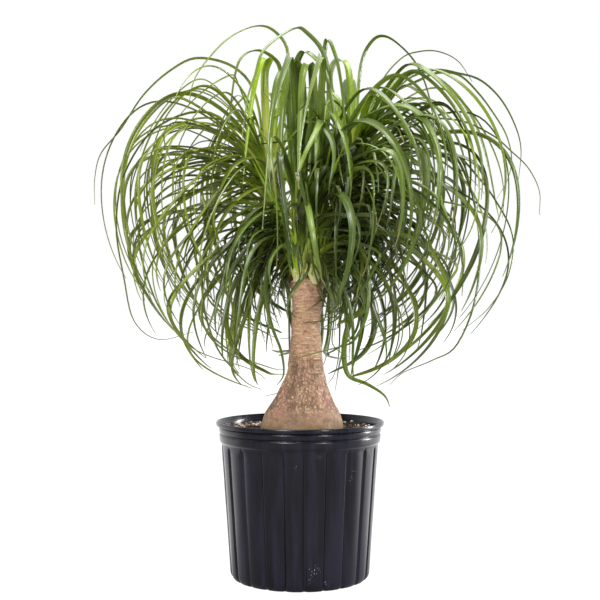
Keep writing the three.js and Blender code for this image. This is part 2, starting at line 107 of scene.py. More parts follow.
# Outside of the pot from the bottom up: height, radius on a panel, rounding of the corner.
POT_OUTSIDE = [
    (0, 108.8, 3), (7, 114.3, 6), (217, 129.2, 1.2), (222, 129.6, 0.8), (225, 132.6, 2.0),
    (236, 133.4, 1.8), (238, 131.2, 0.6), (240, 133.3, 1.2), (247, 133.8, 1.6), (249, 132.2, 0.6),
    (250.4, 138.3, 1.4), (POT_HEIGHT, POT_RIM_RADIUS, 2.2),
]

# Inside of the pot from the rim down.
POT_INSIDE = [
    (POT_HEIGHT, 135.4, 1.2), (248.5, 131, 2), (238, 129.6, 2), (217, 127.4, 2),
    (POT_FLOOR, 111.6, 4),
]

# Layers of noise, here and below: height, size of a wave, seed.
POT_WAVES = [(0.16, 34, 5), (0.07, 13, 6)]
POT_WAVES_START = (4, 20)

# ---- potting mix
SOIL_TOP = 243
SOIL_RISE = 4
SOIL_EDGE_RADIUS = 130.2
SOIL_UNDER_BARK = 1.5
SOIL_COLUMNS = 260
SOIL_RINGS = 46
SOIL_CRUMBS = [(1.5, 5, 21), (0.9, 2.3, 22)]

# The mix's hidden side: heights of its rows, radius at the first and radius 210 mm above it.
SOIL_ROWS = (2.9, 60, 120, 180, 230)
SOIL_SIDE = (109.5, 125.8, 210)

# Loose lumps: name, number, half lengths, shape, seed, share that gathers.
BARK_CHIPS = ("bark_chips", 620, (2.2, 6.5), (1, 0.55, 0.35), 31, 0.3)
PERLITE = ("perlite", 210, (1.4, 3), (1, 0.9, 0.8), 32, 0.7)

# Where they lie, and where some of them gather: azimuth and spread.
LUMPS_WITHIN = 127
LUMPS_CLEAR = 129
LUMPS_GATHER = (radians(140), 0.5)

# ---- trunk
# Trunk from its buried foot up: height, radius, how far its middle leans to +X.
TRUNK_PROFILE = [
    (190, 50, 3), (206, 65, 3), (245, 68, 3), (260, 65, 4), (272, 60.5, 4.5), (288, 51, 5),
    (304, 43, 6.5), (320, 36.3, 7.5), (338, 30.8, 9), (354, 28.3, 9.5), (379, 26.6, 9.5),
    (400, 24.3, 9.5), (429, 23.2, 10), (449, 24.8, 11), (472, 26.2, 11), (487, 26.6, 11),
    (494, 24.5, 11),
]
TRUNK_HEIGHTS, TRUNK_RADII, TRUNK_LEANS = zip(*TRUNK_PROFILE)
TRUNK_FOOT, TRUNK_TOP = TRUNK_HEIGHTS[0], TRUNK_HEIGHTS[-1]
TRUNK_COLUMNS = 290
BURIED_ROWS = 8
BARK_FROM = 240
BARK_ROW = 1.15
DOME_STEPS = 9
DOME_DROP = 6
DOME_RISE = 6.5

# Heights between which the ringed stem, the cracked flare and its fissures come in or fade.
STEM_STARTS = (318, 352)
FLARE_STARTS = (258, 290)
FLARE_FADES = (330, 366)
FISSURES_FADE = (345, 392)
BARK_WAVES = [(0.9, 21, 41), (0.35, 8, 42)]
DOME_WAVES = [(0.8, 4, 49)]
RINGS_FROM = 326.0
RING_STEP = (4.5, 12.5)
RING_WANDER = 1.6
GROOVE_HALF = 1.25
LEDGE_RISE = 1.9
LEDGE_HALF = 1.1
WARTS = 150
WARTS_AT = (300, 488)
WART_REACH = 9
SCAR_SHARE = 0.3

# The short branches under the heads.
FORK_DROP = 36
ELBOW_DROP = 15
FIT_GAP = 0.3
BRANCH_STEPS = 14
BRANCH_SIDES = 28
BRANCH_WAVES = [(0.6, 6, 51), (0.4, 2.6, 52)]

# ---- leaves
GOLDEN_SHARE = 0.618034
WALK_STEPS = 24
LEAF_STEPS = 44
PITCH_WAVES = 1.2
AZIMUTH_WAVES = 0.9
MEET = (14, 4)
SECTOR_CLEAR = 10
TRUNK_CLEAR = 12
TRUNK_CLEAR_FADE = 24
CROWN_MIDDLE = (12, 0, 640)
CROWN_SIDE = 362
CROWN_UP = 285
CROWN_DOWN = 358
CROWN_SOFT = 0.74
PARTING_FROM = 510
PARTING_FADE = 60
PARTING_HALF = 30
TAPER_POWER = 2.4
CLASP_SHARE = 0.3
CLASP_LENGTH = 0.03
TIP_WIDTH = 0.9
YOUTH_BY_AGE = 0.6
TRACED_TONE = 0.8
UV_ROWS = 2
UV_SHARE = (0.92, 0.98)

# Points round a blade: across in half widths, down in depths of its channel, down in thicknesses.
BLADE_SECTION = np.array([
    (1, 0, 0), (0.55, 0.62, 0), (0, 1, 0), (-0.55, 0.62, 0),
    (-1, 0, 0), (-0.6, 0.66, 1), (0, 1, 1.3), (0.6, 0.66, 1),
])
BLADE_SIDES = len(BLADE_SECTION)

# From root to tip: the channel's depth in half widths, and the blade's thickness.
CHANNEL_DEPTH = (0.62, 0.34)
BLADE_THICKNESS = (0.9, 0.45)

# Shoots under the heads, and what of their radius is left at the foot and lost to the tip.
SHOOT_STEPS = 24
SHOOT_SIDES = 36
SHOOT_FIT = 0.98
SHOOT_TAPER = 0.6

# Grid over the crown that tells how crowded a place is, which sets the painted shade that darkens
# leaves deep among others.
CROWD_CORNER = (-420, -420, 220)
CROWD_STEP = 22
CROWD_CELLS = (39, 39, 33)
CROWD_REACH = 6
CROWD_SHADE = 2.4
CROWD_OPEN_SHARE = 0.4
CROWD_LIFTS = (0.0, 0.6)
CROWD_AZIMUTHS = 8

# How leaves grow where a head or a layer says nothing else. A leaf's age runs from 0 for the
# oldest, low on its shoot, to 1 for the youngest at the crown. Angles are degrees.
GROWTH = dict(
    along_shoot=(0.1, 0.97), sunk_share=0.45, lift_power=0.8, oldest_length=0.62,
    full_length_age=0.6, bend=(0.5, 1.1), bend_stray=(0.8, 1.3), azimuth_stray=5, lift_stray=9,
    sway=30, twist=110, pitch_wave=26, azimuth_wave=30, calm=1, free=False, steps=LEAF_STEPS,
)

# What several heads or layers share.
TALL = dict(lift=(0, 86), end=(-92, -160), length=(560, 960), reach=(0.42, 1))
FINE = dict(length=(520, 1000), reach=(0.5, 1), end=(-85, -165))
HANGING = dict(reach=(0.9, 1), end=(-82, -106), lift=(10, 70), bend=(0.2, 0.55))
BESIDE = dict(
    width=(6, 11), length=(220, 400), reach=(0.9, 1), end=(-84, -100), lift=(30, 80),
    bend=(0.3, 0.55),
)
TUFT = dict(width=(1.8, 4), reach=(1, 1), end=(-60, -200), lift=(-5, 75), free=True, steps=16)

# Leaves that draw the plant's outline or cross its front: width, youth, points on the way.
TRACED_LEFT = [
    (6, 0.4, [(-51, 13, 662), (-34, 0, 788), (-18, -5, 862), (-42, -10, 898), (-72, -15, 906),
     (-112, -20, 888), (-146, -25, 854), (-172, -30, 814), (-182, -32, 766)]),
    (9, 0.4, [(-55, 13, 664), (-70, 5, 788), (-106, 0, 840), (-168, -5, 856), (-214, -10, 834),
     (-258, -15, 792), (-294, -18, 736), (-326, -20, 696), (-336, -20, 656), (-336, -20, 612)]),
    (8, 0.4, [(-56, 10, 670), (-140, -10, 762), (-228, -30, 742), (-282, -45, 666),
     (-296, -55, 578), (-282, -60, 488), (-266, -60, 422), (-228, -50, 392), (-172, -35, 404)]),
    (8, 0.4, [(-50, 10, 598), (-140, -10, 678), (-236, -30, 644), (-262, -40, 562),
     (-242, -40, 474), (-210, -38, 414), (-166, -32, 372), (-84, -28, 344), (-52, -26, 326)]),
    (8, 0.4, [(-44, 8, 540), (-106, -10, 586), (-154, -25, 546), (-158, -32, 456), (-138, -34, 384),
     (-108, -33, 342), (-82, -32, 318), (-56, -32, 310)]),
    (13, 1, [(-49, 11, 662), (-56, -5, 754), (-58, -12, 826), (-50, -20, 850), (-62, -35, 842),
     (-74, -45, 788), (-84, -50, 714), (-92, -52, 634)]),
    (9, 0.4, [(-47, 11, 660), (-26, -2, 770), (-32, -6, 834), (-46, -10, 856), (-70, -16, 866),
     (-92, -24, 856), (-104, -30, 830), (-112, -38, 772), (-116, -42, 700)]),
]
TRACED_FRONT = [
    (9, 0.4, [(30, -26, 570), (46, -45, 764), (40, -60, 844), (10, -72, 882), (-12, -80, 886),
     (-56, -95, 850), (-70, -105, 808), (-82, -112, 768), (-90, -118, 704)]),
    (16, 0.45, [(0, -21, 501), (-2, -32, 560), (4, -50, 730), (0, -72, 814), (-12, -88, 834),
     (-20, -105, 808), (-28, -120, 736), (-30, -126, 672), (-30, -128, 612)]),
    (14, 0.45, [(15, -22, 503), (24, -32, 560), (22, -48, 730), (20, -66, 816), (12, -78, 832),
     (4, -95, 806), (0, -108, 738), (-2, -114, 666), (-6, -116, 596)]),
    (13, 0.5, [(-1, -22, 503), (-6, -34, 560), (-12, -50, 698), (-20, -72, 790), (-26, -88, 818),
     (-38, -104, 792), (-46, -116, 720), (-52, -124, 642), (-58, -128, 564)]),
    (11, 0.4, [(-2, -28, 560), (-6, -45, 716), (-10, -60, 808), (2, -75, 848), (18, -90, 842),
     (40, -100, 810), (54, -108, 738), (62, -112, 652)]),
    (9, 0.4, [(28, -26, 560), (30, -42, 748), (38, -52, 842), (44, -60, 874), (56, -70, 846),
     (64, -80, 806), (70, -88, 748), (78, -94, 668)]),
    (7, 0.4, [(25, -22, 525), (72, -75, 560), (104, -100, 516), (106, -105, 442), (86, -95, 394),
     (64, -85, 382), (34, -76, 374), (6, -70, 366), (-20, -66, 358)]),
    (9, 0.4, [(-2, -24, 525), (-32, -50, 544), (-52, -66, 508), (-54, -72, 456), (-44, -72, 412),
     (-30, -68, 374), (-26, -64, 338), (-36, -64, 320)]),
]
TRACED_RIGHT = [
    (11, 0.4, [(87, 14, 682), (94, 10, 790), (102, 5, 854), (120, 0, 886), (140, -5, 892),
     (164, -12, 876), (190, -20, 844), (208, -28, 798), (220, -34, 732), (228, -38, 636),
     (226, -38, 538)]),
    (9, 0.4, [(87, 15, 680), (142, 8, 788), (196, 0, 820), (230, -4, 832), (264, -8, 826),
     (294, -12, 796), (318, -16, 762), (338, -20, 726), (346, -24, 686), (338, -26, 650),
     (320, -28, 620)]),
    (8, 0.4, [(87, 16, 678), (160, 25, 808), (218, 30, 842), (268, 35, 838), (306, 38, 826),
     (340, 40, 794), (364, 42, 750), (374, 44, 710), (370, 45, 660)]),
    (5, 0.4, [(86, 16, 674), (176, 20, 750), (258, 20, 758), (318, 20, 734), (354, 20, 704),
     (382, 20, 676), (400, 20, 638), (400, 20, 598)]),
    (9, 0.4, [(79, 14, 624), (166, 0, 722), (246, -20, 702), (292, -35, 654), (318, -42, 616),
     (340, -48, 572), (344, -50, 534), (332, -50, 486), (302, -46, 440), (262, -40, 406)]),
    (11, 0.4, [(77, 14, 606), (156, -5, 712), (228, -25, 718), (272, -40, 652), (290, -50, 554),
     (282, -54, 456), (252, -50, 382), (214, -44, 358), (168, -36, 338), (146, -30, 318)]),
    (10, 0.4, [(68, 12, 535), (86, -5, 556), (102, -20, 514), (84, -28, 432), (66, -30, 376),
     (72, -30, 336), (108, -34, 320), (136, -38, 302), (146, -40, 282)]),
    (5, 0.4, [(88, 16, 682), (130, 30, 810), (168, 36, 862), (202, 40, 876), (236, 44, 876),
     (268, 46, 860), (292, 48, 826)]),
]

# Each head has shoots (foot, crown, radius), a sector of its own and the solids' leaves, and each
# layer adds finer ones: a fan of azimuths, pitches at the root and at the end, length, width, and
# reach as a share of the round crown. Free ones may leave the sector, fresh gives their youth,
# and calm takes their waves down.
LEFT_LAYERS = [
    dict(FINE, seed=1105, leaves=40, width=(3, 6), lift=(-10, 80)),
    dict(HANGING, seed=1135, leaves=42, width=(5, 10), length=(260, 470), fan=(150, 265)),
    dict(
        seed=1175, leaves=30, width=(2.5, 4), length=(300, 700), reach=(0.5, 0.95),
        end=(-40, -150), fan=(150, 250), lift=(15, 78), along_shoot=(0.8, 1), free=True, steps=30,
    ),
]
RIGHT_LAYERS = [
    dict(FINE, seed=1205, leaves=54, width=(3, 7), lift=(-10, 84)),
    dict(HANGING, seed=1235, leaves=16, width=(6, 11), length=(280, 470), fan=(-85, 30)),
    dict(
        seed=1275, leaves=150, width=(4, 9), length=(110, 330), reach=(1, 1), end=(-30, -150),
        fan=(-175, 130), lift=(-10, 84), along_shoot=(0.45, 1), free=True, steps=18,
    ),
]
FRONT_LAYERS = [
    dict(
        seed=1037, leaves=34, width=(3, 6), length=(240, 700), reach=(0.2, 0.7), end=(-85, -165),
        lift=(10, 85),
    ),
    dict(BESIDE, seed=1057, leaves=8, fan=(190, 228), shoots=[((-2, -14, 510), (-6, -28, 600), 9)]),
    dict(BESIDE, seed=1067, leaves=5, fan=(312, 345), shoots=[((18, -15, 510), (34, -26, 588), 9)]),
    dict(
        TUFT, seed=1077, leaves=70, length=(60, 210), fan=(135, 225),
        shoots=[((-8, -12, 492), (-14, -20, 566), 7)],
    ),
    dict(
        TUFT, seed=1087, leaves=80, length=(60, 230), fan=(-48, 40),
        shoots=[((30, -12, 490), (46, -20, 566), 7)],
    ),
    dict(
        seed=1097, leaves=24, width=(5.5, 9.5), length=(100, 340), reach=(1, 1), end=(86, 45),
        fan=(185, 355), lift=(72, 89), free=True, fresh=1, steps=24, calm=0.2,
        shoots=[((-2, -22, 484), (-4, -28, 506), 7), ((22, -21, 479), (30, -26, 504), 7)],
    ),
]
HEADS = [
    dict(
        TALL, name="head_left", slot="leaves_left", greens=("2b3a05", "5b6d14", "94a233"),
        shoots=[((-22, 17, 522), (-52, 14, 672), 14)], traced=TRACED_LEFT, layers=LEFT_LAYERS,
        sector=(80, 215), seed=105, leaves=53, fan=(45, 236), width=(6, 10.5),
    ),
    dict(
        TALL, name="head_right", slot="leaves_right", greens=("213005", "4a5e11", "83952f"),
        shoots=[((46, 17, 522), (86, 16, 690), 14)], traced=TRACED_RIGHT, layers=RIGHT_LAYERS,
        sector=(-40, 80), seed=205, leaves=59, fan=(-66, 122), width=(8, 12),
    ),
    dict(
        name="head_front", slot="leaves_front", greens=("24330a", "465c1a", "7b8f3e"),
        shoots=[((1, -18, 499), (-4, -32, 600), 9), ((12, -19, 500), (34, -28, 588), 9)],
        traced=TRACED_FRONT, layers=FRONT_LAYERS, sector=(215, 320), seed=37, leaves=32,
        fan=(256, 338), width=(9, 13), lift=(62, 89), end=(-84, -112), length=(560, 940),
        reach=(0.35, 0.9),
    ),
]


# ---- numbers
def mix(a, b, t):
    return a + (b - a) * t


def smoothstep(x, low, high):
    t = np.clip((np.asarray(x, float) - low) / (high - low), 0, 1)
    return t * t * (3 - 2 * t)


def turns(count):
    """Angles of a number of even steps round a circle."""
    return np.arange(count) * TURN / count


def lattice_noise(points, seed):
    """Smooth noise from -1 to 1 at points (..., 3), one lattice cell a unit."""
    cell = np.floor(points).astype(np.int64)
    f = points - cell
    f = f * f * (3 - 2 * f)
    value = 0
    for corner in product((0, 1), repeat=3):
        h = ((cell + corner) * (374761393, 668265263, 2147483647)).sum(-1) + seed * 974634777
        h &= 0xFFFFFFFF
        h = ((h ^ (h >> 13)) * 1274126177) & 0xFFFFFFFF
        h = ((h ^ (h >> 16)) * 2246822519) & 0xFFFFFFFF
        weight = np.where(corner, f, 1 - f).prod(-1)
        value = value + weight * ((h ^ (h >> 15)) / 2**31 - 1)
    return value


def layered_noise(points, layers):
    return sum(height * lattice_noise(points / size, seed) for height, size, seed in layers)


def seeded_draw(seed):
    """The same seeded stream of numbers from 0 to 1 that places the solids' leaves."""
    mask = 0xFFFFFFFF
    state = seed

    def draw():
        nonlocal state
        state = (state + 0x6D2B79F5) & mask
        t = ((state ^ (state >> 15)) * (state | 1)) & mask
        t ^= (t + (((t ^ (t >> 7)) * (t | 61)) & mask)) & mask
        return (t ^ (t >> 14)) / 2**32

    return draw


def smooth_table(x, keys, values):
    """Reads a table along a smooth line that doesn't overshoot its rows."""
    keys, values = np.array(keys, float), np.array(values, float)
    slopes = np.diff(values) / np.diff(keys)
    at = np.concatenate([[slopes[0]], (slopes[:-1] + slopes[1:]) / 2, [slopes[-1]]])
    at[1:-1][slopes[:-1] * slopes[1:] <= 0] = 0
    x = np.clip(np.asarray(x, float), keys[0], keys[-1])
    i = np.clip(np.searchsorted(keys, x, "right") - 1, 0, len(keys) - 2)
    h = keys[i + 1] - keys[i]
    t = (x - keys[i]) / h
    return (
        (2 * t**3 - 3 * t**2 + 1) * values[i]
        + (t**3 - 2 * t**2 + t) * h * at[i]
        + (-2 * t**3 + 3 * t**2) * values[i + 1]
        + (t**3 - t**2) * h * at[i + 1]
    )


# ---- lines and tubes
def spline(points, steps):
    """Points at even parameters on the smooth line through some points."""
    points = np.asarray(points, float)
    ext = np.vstack([2 * points[0] - points[1], points, 2 * points[-1] - points[-2]])
    last = len(points) - 1
    out = []
    for k in range(steps + 1):
        p = last * k / steps
        i = min(int(p), last - 1)
        w = p - i
        x0, x1, x2, x3 = ext[i : i + 4]
        t0, t1 = 0.5 * (x2 - x0), 0.5 * (x3 - x1)
        c2 = -3 * x1 + 3 * x2 - 2 * t0 - t1
        c3 = 2 * x1 - 2 * x2 + t0 + t1
        out.append(x1 + t0 * w + c2 * w * w + c3 * w**3)
    return out


def tube(line, radii, sides):
    """Rings of points round a line."""
    rings = []
    turn = turns(sides)
    for k, middle in enumerate(line):
        along = line[min(k + 1, len(line) - 1)] - line[max(k - 1, 0)]
        along /= norm(along)
        a = np.cross((0.0, 1.0, 0.0), along)
        a /= norm(a)
        b = np.cross(along, a)
        ring = np.outer(np.cos(turn), a) + np.outer(np.sin(turn), b)
        rings.append(middle + radii[k] * ring)
    return np.array(rings)


# ---- meshes
def add_object(name, data):
    made = bpy.data.objects.new(name, data)
    bpy.context.scene.collection.objects.link(made)
    return made


def make_piece(name, points, faces, material, slot, sharp=180, attributes=None, uvs=None):
    """A mesh in millimetres becomes a named piece in metres that rides on the part."""
    mesh = bpy.data.meshes.new(name)
    mesh.from_pydata((np.asarray(points, float) * MM).tolist(), [], faces)
    mesh.validate()
    mesh.shade_smooth()
    mesh.set_sharp_from_angle(angle=radians(sharp))
    for key, values in (attributes or {}).items():
        layer = mesh.attributes.new(key, "FLOAT", "POINT")
        layer.data.foreach_set("value", np.asarray(values, np.float32))
    if uvs is not None:
        layer = mesh.uv_layers.new(name="OFBake")
        layer.data.foreach_set("uv", np.asarray(uvs, np.float32).ravel())
    mesh.materials.append(material)
    piece = add_object(name, mesh)
    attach(piece, "root")
    return piece


def ring_faces(rings, count, start=0, capped=True):
    """Faces of a body through rings of equally many points."""
    i, j = np.mgrid[: rings - 1, :count]
    a, n = start + i * count, (j + 1) % count
    faces = np.stack([a + j, a + n, a + n + count, a + j + count], -1).reshape(-1, 4).tolist()
    if capped:
        first = list(range(start, start + count))
        faces += [first[::-1], [p + (rings - 1) * count for p in first]]
    return faces


# ---- material kit
class Nodes:
    """Builds the nodes of a material or of the world with short calls."""

    def __init__(self, owner):
        owner.use_nodes = True
        self.owner = owner
        self.tree = owner.node_tree

    def node(self, kind, inputs=(), **settings):
        """A node whose inputs come by name, or as a row from its first one on."""
        made = self.tree.nodes.new("ShaderNode" + kind)
        for key, value in settings.items():
            setattr(made, key, value)
        row = inputs if isinstance(inputs, dict) else dict(enumerate(inputs))
        for key, value in row.items():
            self.put(made.inputs[key], value)
        return made

    def put(self, socket, value):
        if isinstance(value, bpy.types.NodeSocket):
            self.tree.links.new(value, socket)
        else:
            socket.default_value = colour(value) if isinstance(value, str) else value

    def place(self, scale=(1, 1, 1)):
        where = self.node("TexCoord").outputs["Object"]
        return self.node("Mapping", {"Vector": where, "Scale": scale}).outputs["Vector"]

    def axis(self, name, space="Object"):
        where = self.node("TexCoord").outputs[space]
        return self.node("SeparateXYZ", [where]).outputs[name]

    def attribute(self, name):
        return self.node("Attribute", attribute_name=name).outputs["Fac"]

    def noise(self, where, scale, detail=4, rough=0.55, twist=0):
        inputs = {
            "Vector": where, "Scale": scale, "Detail": detail, "Roughness": rough,
            "Distortion": twist,
        }
        return self.node("TexNoise", inputs).outputs["Fac"]

    def cells(self, where, scale):
        return self.node("TexVoronoi", {"Vector": where, "Scale": scale}).outputs["Distance"]

    def maths(self, kind, a, b=0):
        return self.node("Math", (a, b), operation=kind).outputs[0]

    def times(self, a, b):
        return self.maths("MULTIPLY", a, b)

    def span(self, value, low, high, to_low=0, to_high=1):
        return self.node("MapRange", (value, low, high, to_low, to_high)).outputs[0]

    def blend(self, share, a, b):
        inputs = {0: share, 6: a, 7: b}
        return self.node("Mix", inputs, data_type="RGBA").outputs[2]

    def coats(self, base, *coats):
        """Lays colours on a base, each by a value and the four numbers of its span."""
        for value, low, high, to_low, to_high, shade in coats:
            base = self.blend(self.span(value, low, high, to_low, to_high), base, shade)
        return base

    def ramp(self, value, stops):
        made = self.node("ValToRGB", {"Fac": value})
        ramp = made.color_ramp
        while len(ramp.elements) < len(stops):
            ramp.elements.new(0.5)
        for element, (place, shade) in zip(ramp.elements, stops):
            element.position = place
            element.color = colour(shade)
        return made.outputs["Color"]

    def bump(self, height, strength, distance):
        inputs = {"Height": height, "Strength": strength, "Distance": distance}
        return self.node("Bump", inputs).outputs["Normal"]

    def finish(self, **sockets):
        """Sets the surface's sockets, and gives back the material."""
        surface = self.tree.nodes["Principled BSDF"]
        for key, value in sockets.items():
            self.put(surface.inputs[key.replace("_", " ")], value)
        return self.owner


def shader(name):
    return Nodes(bpy.data.materials.new(name))


def colour(code):
    """Linear RGBA of a hex colour such as 5a4d47."""
    parts = [int(code[i : i + 2], 16) / 255 for i in (0, 2, 4)]
    return (*[c / 12.92 if c <= 0.04045 else ((c + 0.055) / 1.055) ** 2.4 for c in parts], 1)


# ---- stage
def set_camera():
    scene = bpy.context.scene
    data = bpy.data.cameras.new("camera")
    data.lens = CAMERA_LENS
    data.sensor_width = CAMERA_SENSOR
    data.clip_end = 100
    scene.camera = add_object("camera", data)
    scene.camera.location = Vector(CAMERA_PLACE) * MM
    scene.camera.rotation_euler = (radians(90), 0, 0)
    scene.view_settings.view_transform = "Standard"
    scene.view_settings.look = "None"


def light_room():
    """White where the camera looks, and softly graded for every other ray."""
    world = bpy.data.worlds.new("studio")
    s = Nodes(world)
    s.tree.nodes.clear()
    share = s.span(s.axis("Y", "Generated"), *ROOM_TURNS)
    light = s.node("Background", {"Color": s.blend(share, ROOM_FRONT, ROOM_BEHIND)})
    seen = s.node("Background", {"Color": "ffffff"})
    rays = s.node("LightPath").outputs["Is Camera Ray"]
    both = s.node("MixShader", (rays, light.outputs[0], seen.outputs[0]))
    s.node("OutputWorld", {"Surface": both.outputs[0]})
    bpy.context.scene.world = world


def hang_lamps():
    for name, place, size, power in LAMPS:
        data = bpy.data.lights.new(name, "AREA")
        data.shape = "RECTANGLE"
        data.size, data.size_y = size
        data.energy = power
        lamp = add_object(name, data)
        lamp.location = place
        toward = Vector(LAMP_AIM) - Vector(place)
        lamp.rotation_euler = toward.to_track_quat("-Z", "Y").to_euler()


def lay_floor():
    mesh = bpy.data.meshes.new("floor")
    half = FLOOR_HALF
    corners = [(-half, -half, 0), (half, -half, 0), (half, half, 0), (-half, half, 0)]
    mesh.from_pydata(corners, [], [(0, 1, 2, 3)])
    floor = add_object("floor", mesh)
    floor.location.z = -FLOOR_DROP
    s = shader("paper")
    tone = s.ramp(s.noise(s.place(), 3), [(0.3, "6c6c6c"), (0.7, "727272")])
    lit = s.span(s.axis("Y"), *FLOOR_LIT_FROM, *FLOOR_LIGHT)
    seen = s.node("LightPath").outputs["Is Camera Ray"]
    mesh.materials.append(s.finish(
        Base_Color=tone, Roughness=0.9, Emission_Color="ffffff",
        Emission_Strength=s.span(seen, 0, 1, lit, FLOOR_SEEN),
    ))


# ---- pot
def rounded_profile(corners, first_side):
    """Points along a profile whose corners are rounded by their third value.

    first_side tells where the line comes from before its first corner.
    """
    points = []
    last = len(corners) - 1
    for i, (z, r, rounding) in enumerate(corners):
        here = np.array([r, z], float)
        before = np.array(corners[i - 1][1::-1], float) if i else here + [first_side, 0]
        after = np.array(corners[i + 1][1::-1], float) if i < last else here - [PROFILE_END, 0]
        a = here + (before - here) * min(0.45, rounding / norm(before - here))
        b = here + (after - here) * min(0.45, rounding / norm(after - here))
        for t in np.arange(ARC_STEPS + 1) / ARC_STEPS:
            points.append((1 - t) ** 2 * a + 2 * t * (1 - t) * here + t * t * b)
    return points


def split_long(points):
    """The same line with no step longer than a row of the pot."""
    out = [points[0]]
    for a, b in zip(points, points[1:]):
        steps = max(1, ceil(norm(b - a) / POT_ROW))
        out += [a + (b - a) * (k + 1) / steps for k in range(steps)]
    return out


def pot_outside():
    """The outside's profile, with close rows round the grooves' arched ends."""
    rows = split_long(rounded_profile(POT_OUTSIDE, -PROFILE_END))
    low = GROOVE_TOP - GROOVE_END_DROP
    below = [p for p in rows if p[1] <= low]
    above = [p for p in rows if p[1] >= GROOVE_TOP + GROOVE_END_RISE]
    heights = np.arange(low, GROOVE_TOP + 1, GROOVE_END_ROW)
    (r0, z0), (r1, z1) = below[-1], above[0]
    out = [rows[0]]
    for p in [*below, *np.stack([np.interp(heights, (z0, z1), (r0, r1)), heights], -1), *above]:
        if norm(p - out[-1]) > SAME_PLACE:
            out.append(p)
    return out


def pot_columns():
    """Angles round the pot, closer together across the grooves."""
    half = GROOVE_SPREAD * GROOVE_HALF_WIDTH / PANEL_RADIUS
    across = np.linspace(-half, half, GROOVE_COLUMNS + 1)
    panel = np.linspace(half, FLUTE_PITCH - half, PANEL_COLUMNS + 1)[1:-1]
    offsets = np.concatenate([across, panel])
    return np.concatenate([FLUTE_TURN + k * FLUTE_PITCH + offsets for k in range(FLUTES)])


def groove_share(arc, z):
    """0 on a panel and 1 in a groove's floor, with an arched end at the top."""
    over = np.maximum(z - GROOVE_TOP, 0)
    away = np.hypot(arc, over) / GROOVE_HALF_WIDTH
    return 1 - smoothstep(away, GROOVE_FLOOR_SHARE, 1)


def pot_surface(profile, angles, outside):
    """Rings of points: the profile turned round, with its grooves and the moulding's waves."""
    r, z = np.array(profile).T[..., None]
    from_groove = (angles - FLUTE_TURN + FLUTE_PITCH / 2) % FLUTE_PITCH - FLUTE_PITCH / 2
    fluted = groove_share(np.abs(from_groove)[None, :] * PANEL_RADIUS, z)
    body = 1 - smoothstep(z, *BULGE_FADES)
    bulge = PANEL_BULGE * np.sin(np.abs(from_groove) / FLUTE_PITCH * pi)[None, :]
    radius = r - GROOVE_DEPTH * fluted + (bulge - BULGE_SUNK_SHARE * PANEL_BULGE) * body
    x, y = radius * np.cos(angles), radius * np.sin(angles)
    places = np.stack([x, y, np.broadcast_to(z, x.shape)], -1)
    if outside:
        wave = layered_noise(places, POT_WAVES) * smoothstep(z, *POT_WAVES_START)
        places[..., 0] += wave * np.cos(angles)
        places[..., 1] += wave * np.sin(angles)
    return places


def drain_loops(z):
    loops = []
    for k in range(DRAIN_HOLES):
        a = (k + 0.5) * TURN / DRAIN_HOLES
        cx, cy = DRAIN_RING_RADIUS * cos(a), DRAIN_RING_RADIUS * sin(a)
        loops.append([
            (cx + DRAIN_RADIUS * cos(t), cy + DRAIN_RADIUS * sin(t), z)
            for t in turns(DRAIN_SIDES)
        ])
    return loops


def floor_faces(points, rim, loops):
    """Triangles between a rim and the holes, all given as indices into points."""
    used = [*rim, *[i for loop in loops for i in loop]]
    index = {p: k for k, p in enumerate(used)}
    flat = [Vector(points[i][:2]) for i in used]
    edges = []
    for loop in (rim, *loops):
        edges += [(index[a], index[b]) for a, b in zip(loop, [*loop[1:], loop[0]])]
    made = delaunay_2d_cdt(flat, edges, [], 2, 1e-7)
    faces = []
    for face in made[2]:
        source = [made[3][v][0] for v in face]
        holes = {(s - len(rim)) // DRAIN_SIDES for s in source}
        if min(source) < len(rim) or len(holes) > 1:
            faces.append(tuple(used[s] for s in source))
    return faces


def make_pot(material):
    """One shell: up the outside, down the inside, and two floors with drain holes through them."""
    angles = pot_columns()
    count = len(angles)
    outer = pot_surface(pot_outside(), angles, True)
    inner = pot_surface(split_long(rounded_profile(POT_INSIDE, PROFILE_END)), angles, False)
    points = np.concatenate([outer, inner]).reshape(-1, 3).tolist()
    rings = len(outer) + len(inner)
    faces = ring_faces(rings, count, capped=False)
    floors = []
    for first in (0, (rings - 1) * count):
        loops = []
        for loop in drain_loops(points[first][2]):
            loops.append(list(range(len(points), len(points) + DRAIN_SIDES)))
            points += loop
        floors.append(loops)
        made = floor_faces(points, list(range(first, first + count)), loops)
        faces += made if first else [face[::-1] for face in made]
    for a, b in zip(*floors):
        for j in range(DRAIN_SIDES):
            n = (j + 1) % DRAIN_SIDES
            faces.append((a[j], b[j], b[n], a[n]))
    pot = make_piece("pot_moulded", points, faces, material, "pot", 50)
    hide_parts("pot")


def pot_material():
    s = shader("pot_plastic")
    where = s.place()
    cloud = s.noise(where, 9, 5)
    # Painted sheen: lighter bluish vertical streaks over the black plastic stand in for reflections
    # down its flutes.
    streaks = s.noise(s.place((60, 60, 4)), 1, 3)
    patch = s.noise(where, 24, 2)
    dust = s.times(s.span(s.cells(where, 330), 0.3, 0.16), s.span(patch, 0.67, 0.75))
    base = s.ramp(cloud, [(0.3, "0a0910"), (0.7, "12111a")])
    base = s.coats(base, (streaks, 0.42, 0.62, 0, 0.55, "252436"))
    return s.finish(
        Base_Color=s.blend(dust, base, "8f8d92"),
        Roughness=s.span(cloud, 0.3, 0.7, 0.16, 0.26),
        Specular_IOR_Level=0.4,
        Normal=s.bump(s.noise(where, 420, 3), 0.1, 0.0003),
    )


# ---- potting mix
def soil_surface(x, y):
    waves = np.sin(x / 9 + 1.3) * np.cos(y / 7) + 0.7 * np.sin((x + 2 * y) / 11)
    places = np.stack([x, y, np.zeros_like(x)], -1)
    return SOIL_TOP + 0.5 * SOIL_RISE * waves + layered_noise(places, SOIL_CRUMBS)


